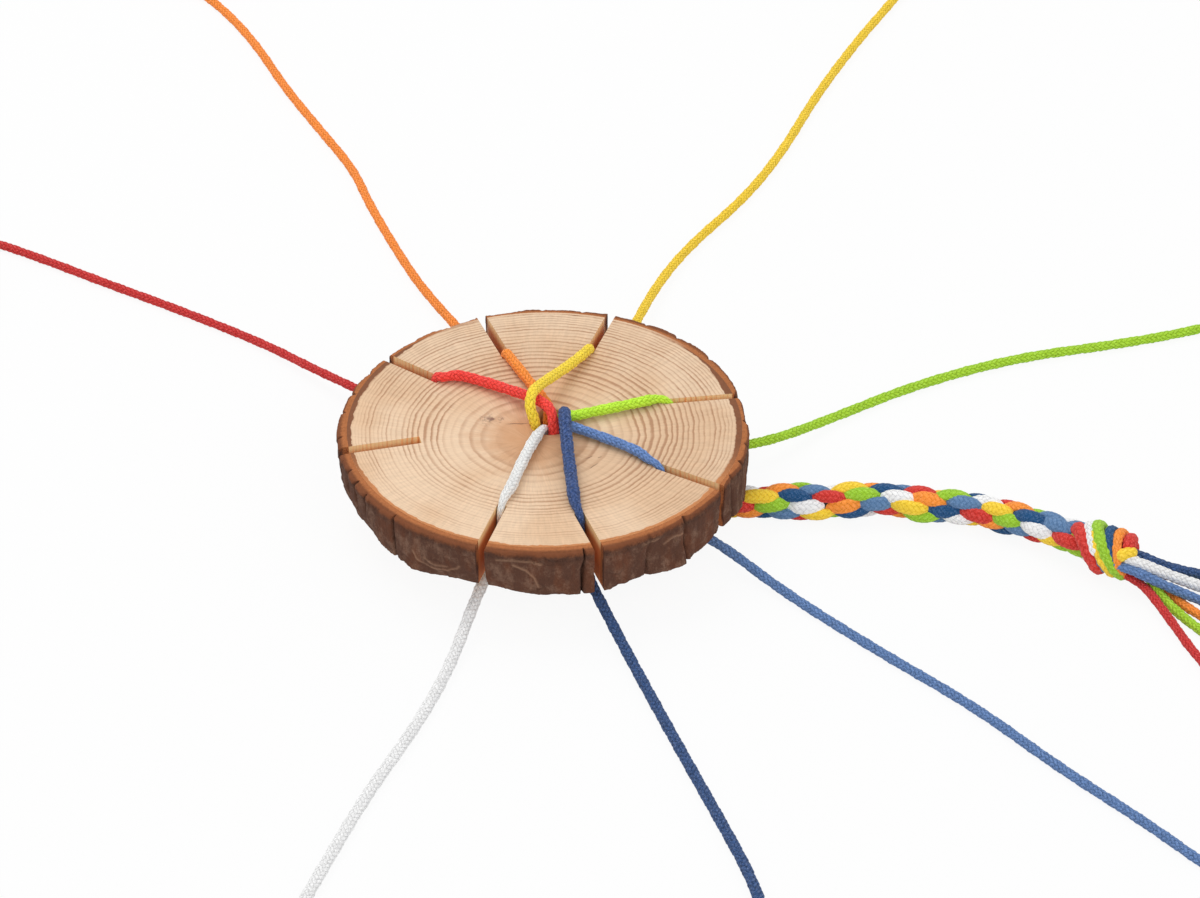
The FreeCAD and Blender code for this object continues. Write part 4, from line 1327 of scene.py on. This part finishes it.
def woodMaterial():
    w = wood
    shader = Shader("end_grain")
    where = shader.place()
    x, y, up = shader.parts(where, 0, 1, 2)
    broad, middle, fine, patchy, pores = (
        shader.noise(where, *w[name]) for name in ("broad", "middle", "fine", "patchy", "pores"))

    # the share of the way from the pith to the wood's edge
    px, py = w["pith"]
    ex, ey = px - w["centre"][0], py - w["centre"][1]
    dx, dy = x - px, y - py
    towards = dx * ex + dy * ey
    room = w["radius"] ** 2 - (ex * ex + ey * ey)
    share = ((towards * towards + (dx * dx + dy * dy) * room).root() + towards) / room
    for noise, wander in zip((broad, middle, fine), w["wander"]):
        share = share + (noise - 0.5) * wander

    # the year rings: a line at the end of each year's growth, bolder in some years and places
    count = share * w["ringsInner"] + share * share * w["ringsOuter"]
    often, far = w["uneven"]
    uneven = shader.noise(shader.plane(count * often, 3.7), 1.0, 2.0, 0.6, "2D")
    count = count + (uneven - 0.5) * far
    within = count.part()
    strength = shader.node("ShaderNodeTexWhiteNoise", {"noise_dimensions": "1D"}, {
        "W": count.math("FLOOR")})
    line = within.smooth(*w["lineRise"]) * (1 - within.smooth(*w["lineEnd"]))
    least, chance = w["boldness"]
    bold = least + strength * chance
    fade = w["bandFade"]
    for low, high, more in w["bands"]:
        inBand = share.smooth(low - fade, low + fade) * (1 - share.smooth(high - fade, high + fade))
        bold = bold + inBand * more
    away = (dy / w["radius"]).smooth(0.2, 0.7).most((dx / w["radius"]).smooth(0.35, 0.85))
    least, chance, ragged = w["farBoldness"]
    bold = bold + away * (least + strength * chance + (fine - 0.5) * ragged)
    front = (dy / w["radius"]).smooth(-1.0, 0.1)
    bold = bold * (0.5 + patchy.smooth(0.36, 0.66) * 0.5) * (0.62 + front * 0.48)
    line = (line * bold + within * 0.25 * bold * 0.5).clamped()

    # the face: warm round the pith with fine rays, and the saw's hatching
    colour = shader.mix(linear(w["paleColour"]), linear(w["warmColour"]), broad.smooth(0.35, 0.65))
    bearing = dy.math("ARCTAN2", dx)
    rays = shader.noise(shader.plane(bearing * 9.0, share * 3.0), 1.0, 3.0, 0.6, "2D")
    hatch = shader.noise(shader.plane(bearing * 46.0, share * 9.0), 1.0, 2.0, 0.6, "2D")
    core = 1 - (share + (middle - 0.5) * 0.2 + (rays - 0.5) * 0.2).smooth(0.1, 0.4)
    colour = shader.mix(colour, linear(w["coreColour"]), core * (0.55 + rays * 0.6))
    split = 1 - (rays - 0.5).size().smooth(0.0, 0.035)
    colour = shader.mix(colour, linear(w["lineColour"]),
                        split * core * patchy.smooth(0.4, 0.6) * 0.5)
    colour = shader.mix(colour, linear(w["lineColour"]), line * w["lineCover"])
    colour = shader.tint(
        colour, 1.0 + (pores - 0.5) * 0.2 + (hatch - 0.5) * 0.26 + (fine - 0.5) * 0.06)
    colour = shader.tint(colour, 1.0 - away * 0.045)

    # a small knot, the drying crack and the nicks
    markX, markY = w["knotMark"]
    fromMark = ((x - markX) * (x - markX) * 0.35 + (y - markY) * (y - markY)).root()
    mark = 1 - (fromMark + (fine - 0.5) * 4.0 + (pores - 0.5) * 1.6).smooth(0.0, 1.5)
    colour = shader.mix(colour, linear(w["knotColour"]), mark * w["knotCover"])
    wobble = (fine - 0.5) * 0.5
    dark = markAlong(shader, x, y + wobble, *w["crack"], w["crackWidth"])
    for start, end in w["ticks"]:
        tick = markAlong(shader, x, y + wobble, start, end, w["tickWidth"])
        dark = dark.most(tick * w["tickCover"])
    colour = shader.mix(colour, linear(w["crackColour"]), dark * w["crackCover"])

    # bark on the wood's edge
    edgeX, edgeY, edgeRadius = w["barkEdge"]
    out = ((x - edgeX) * (x - edgeX) + (y - edgeY) * (y - edgeY)).root()
    clear = math.radians(w["clearSide"])
    clear = ((x * math.cos(clear) + y * math.sin(clear)) / w["radius"]).smooth(0.4, 0.85) * 1.5
    out = out + (middle - 0.5) * 0.9 + (fine - 0.5) * 0.5 - edgeRadius - clear
    near = ((y / w["radius"]) * -1.0).smooth(0.1, 0.55)
    skin = shader.mix(linear(w["barkColour"]), linear(w["nearColour"]), near)
    skin = shader.tint(skin, 0.75 + fine * 0.5 + (pores - 0.5) * 0.5)
    colour = shader.mix(colour, skin, out.smooth(-0.12, 0.12))

    # the walls of the saw cuts: painted light near the face and painted shade further down
    normal = shader.node("ShaderNodeNewGeometry", output=1)
    upright = shader.parts(normal, 2)[0].size()
    wallGrain = shader.noise(shader.place(scale=(1.0, 1.0, 0.06)), *w["wallGrain"])
    wall = shader.mix(linear(w["wallLitColour"]), linear(w["wallLine"]), (line * 0.9).clamped())
    # painted shade deeper in the cut
    depth = up.smooth(*(level["face"] - down for down in w["wallFade"]))
    wall = shader.mix(linear(w["wallShadedColour"]), wall, depth)
    wall = shader.tint(wall, 0.72 + wallGrain * 0.55)
    colour = shader.mix(wall, colour, upright.smooth(0.4, 0.7))
    relief = shader.relief(pores * 0.5 + line * -0.4, w["relief"])
    return shader.finish(
        {"Base Color": colour, "Normal": relief, "Roughness": 0.62 + pores * 0.2},
        {"Specular IOR Level": 0.3})


def paintWood():
    material = woodMaterial()
    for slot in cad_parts["wood_disk"].material_slots:
        slot.material = material


paintWood()
print("wood")
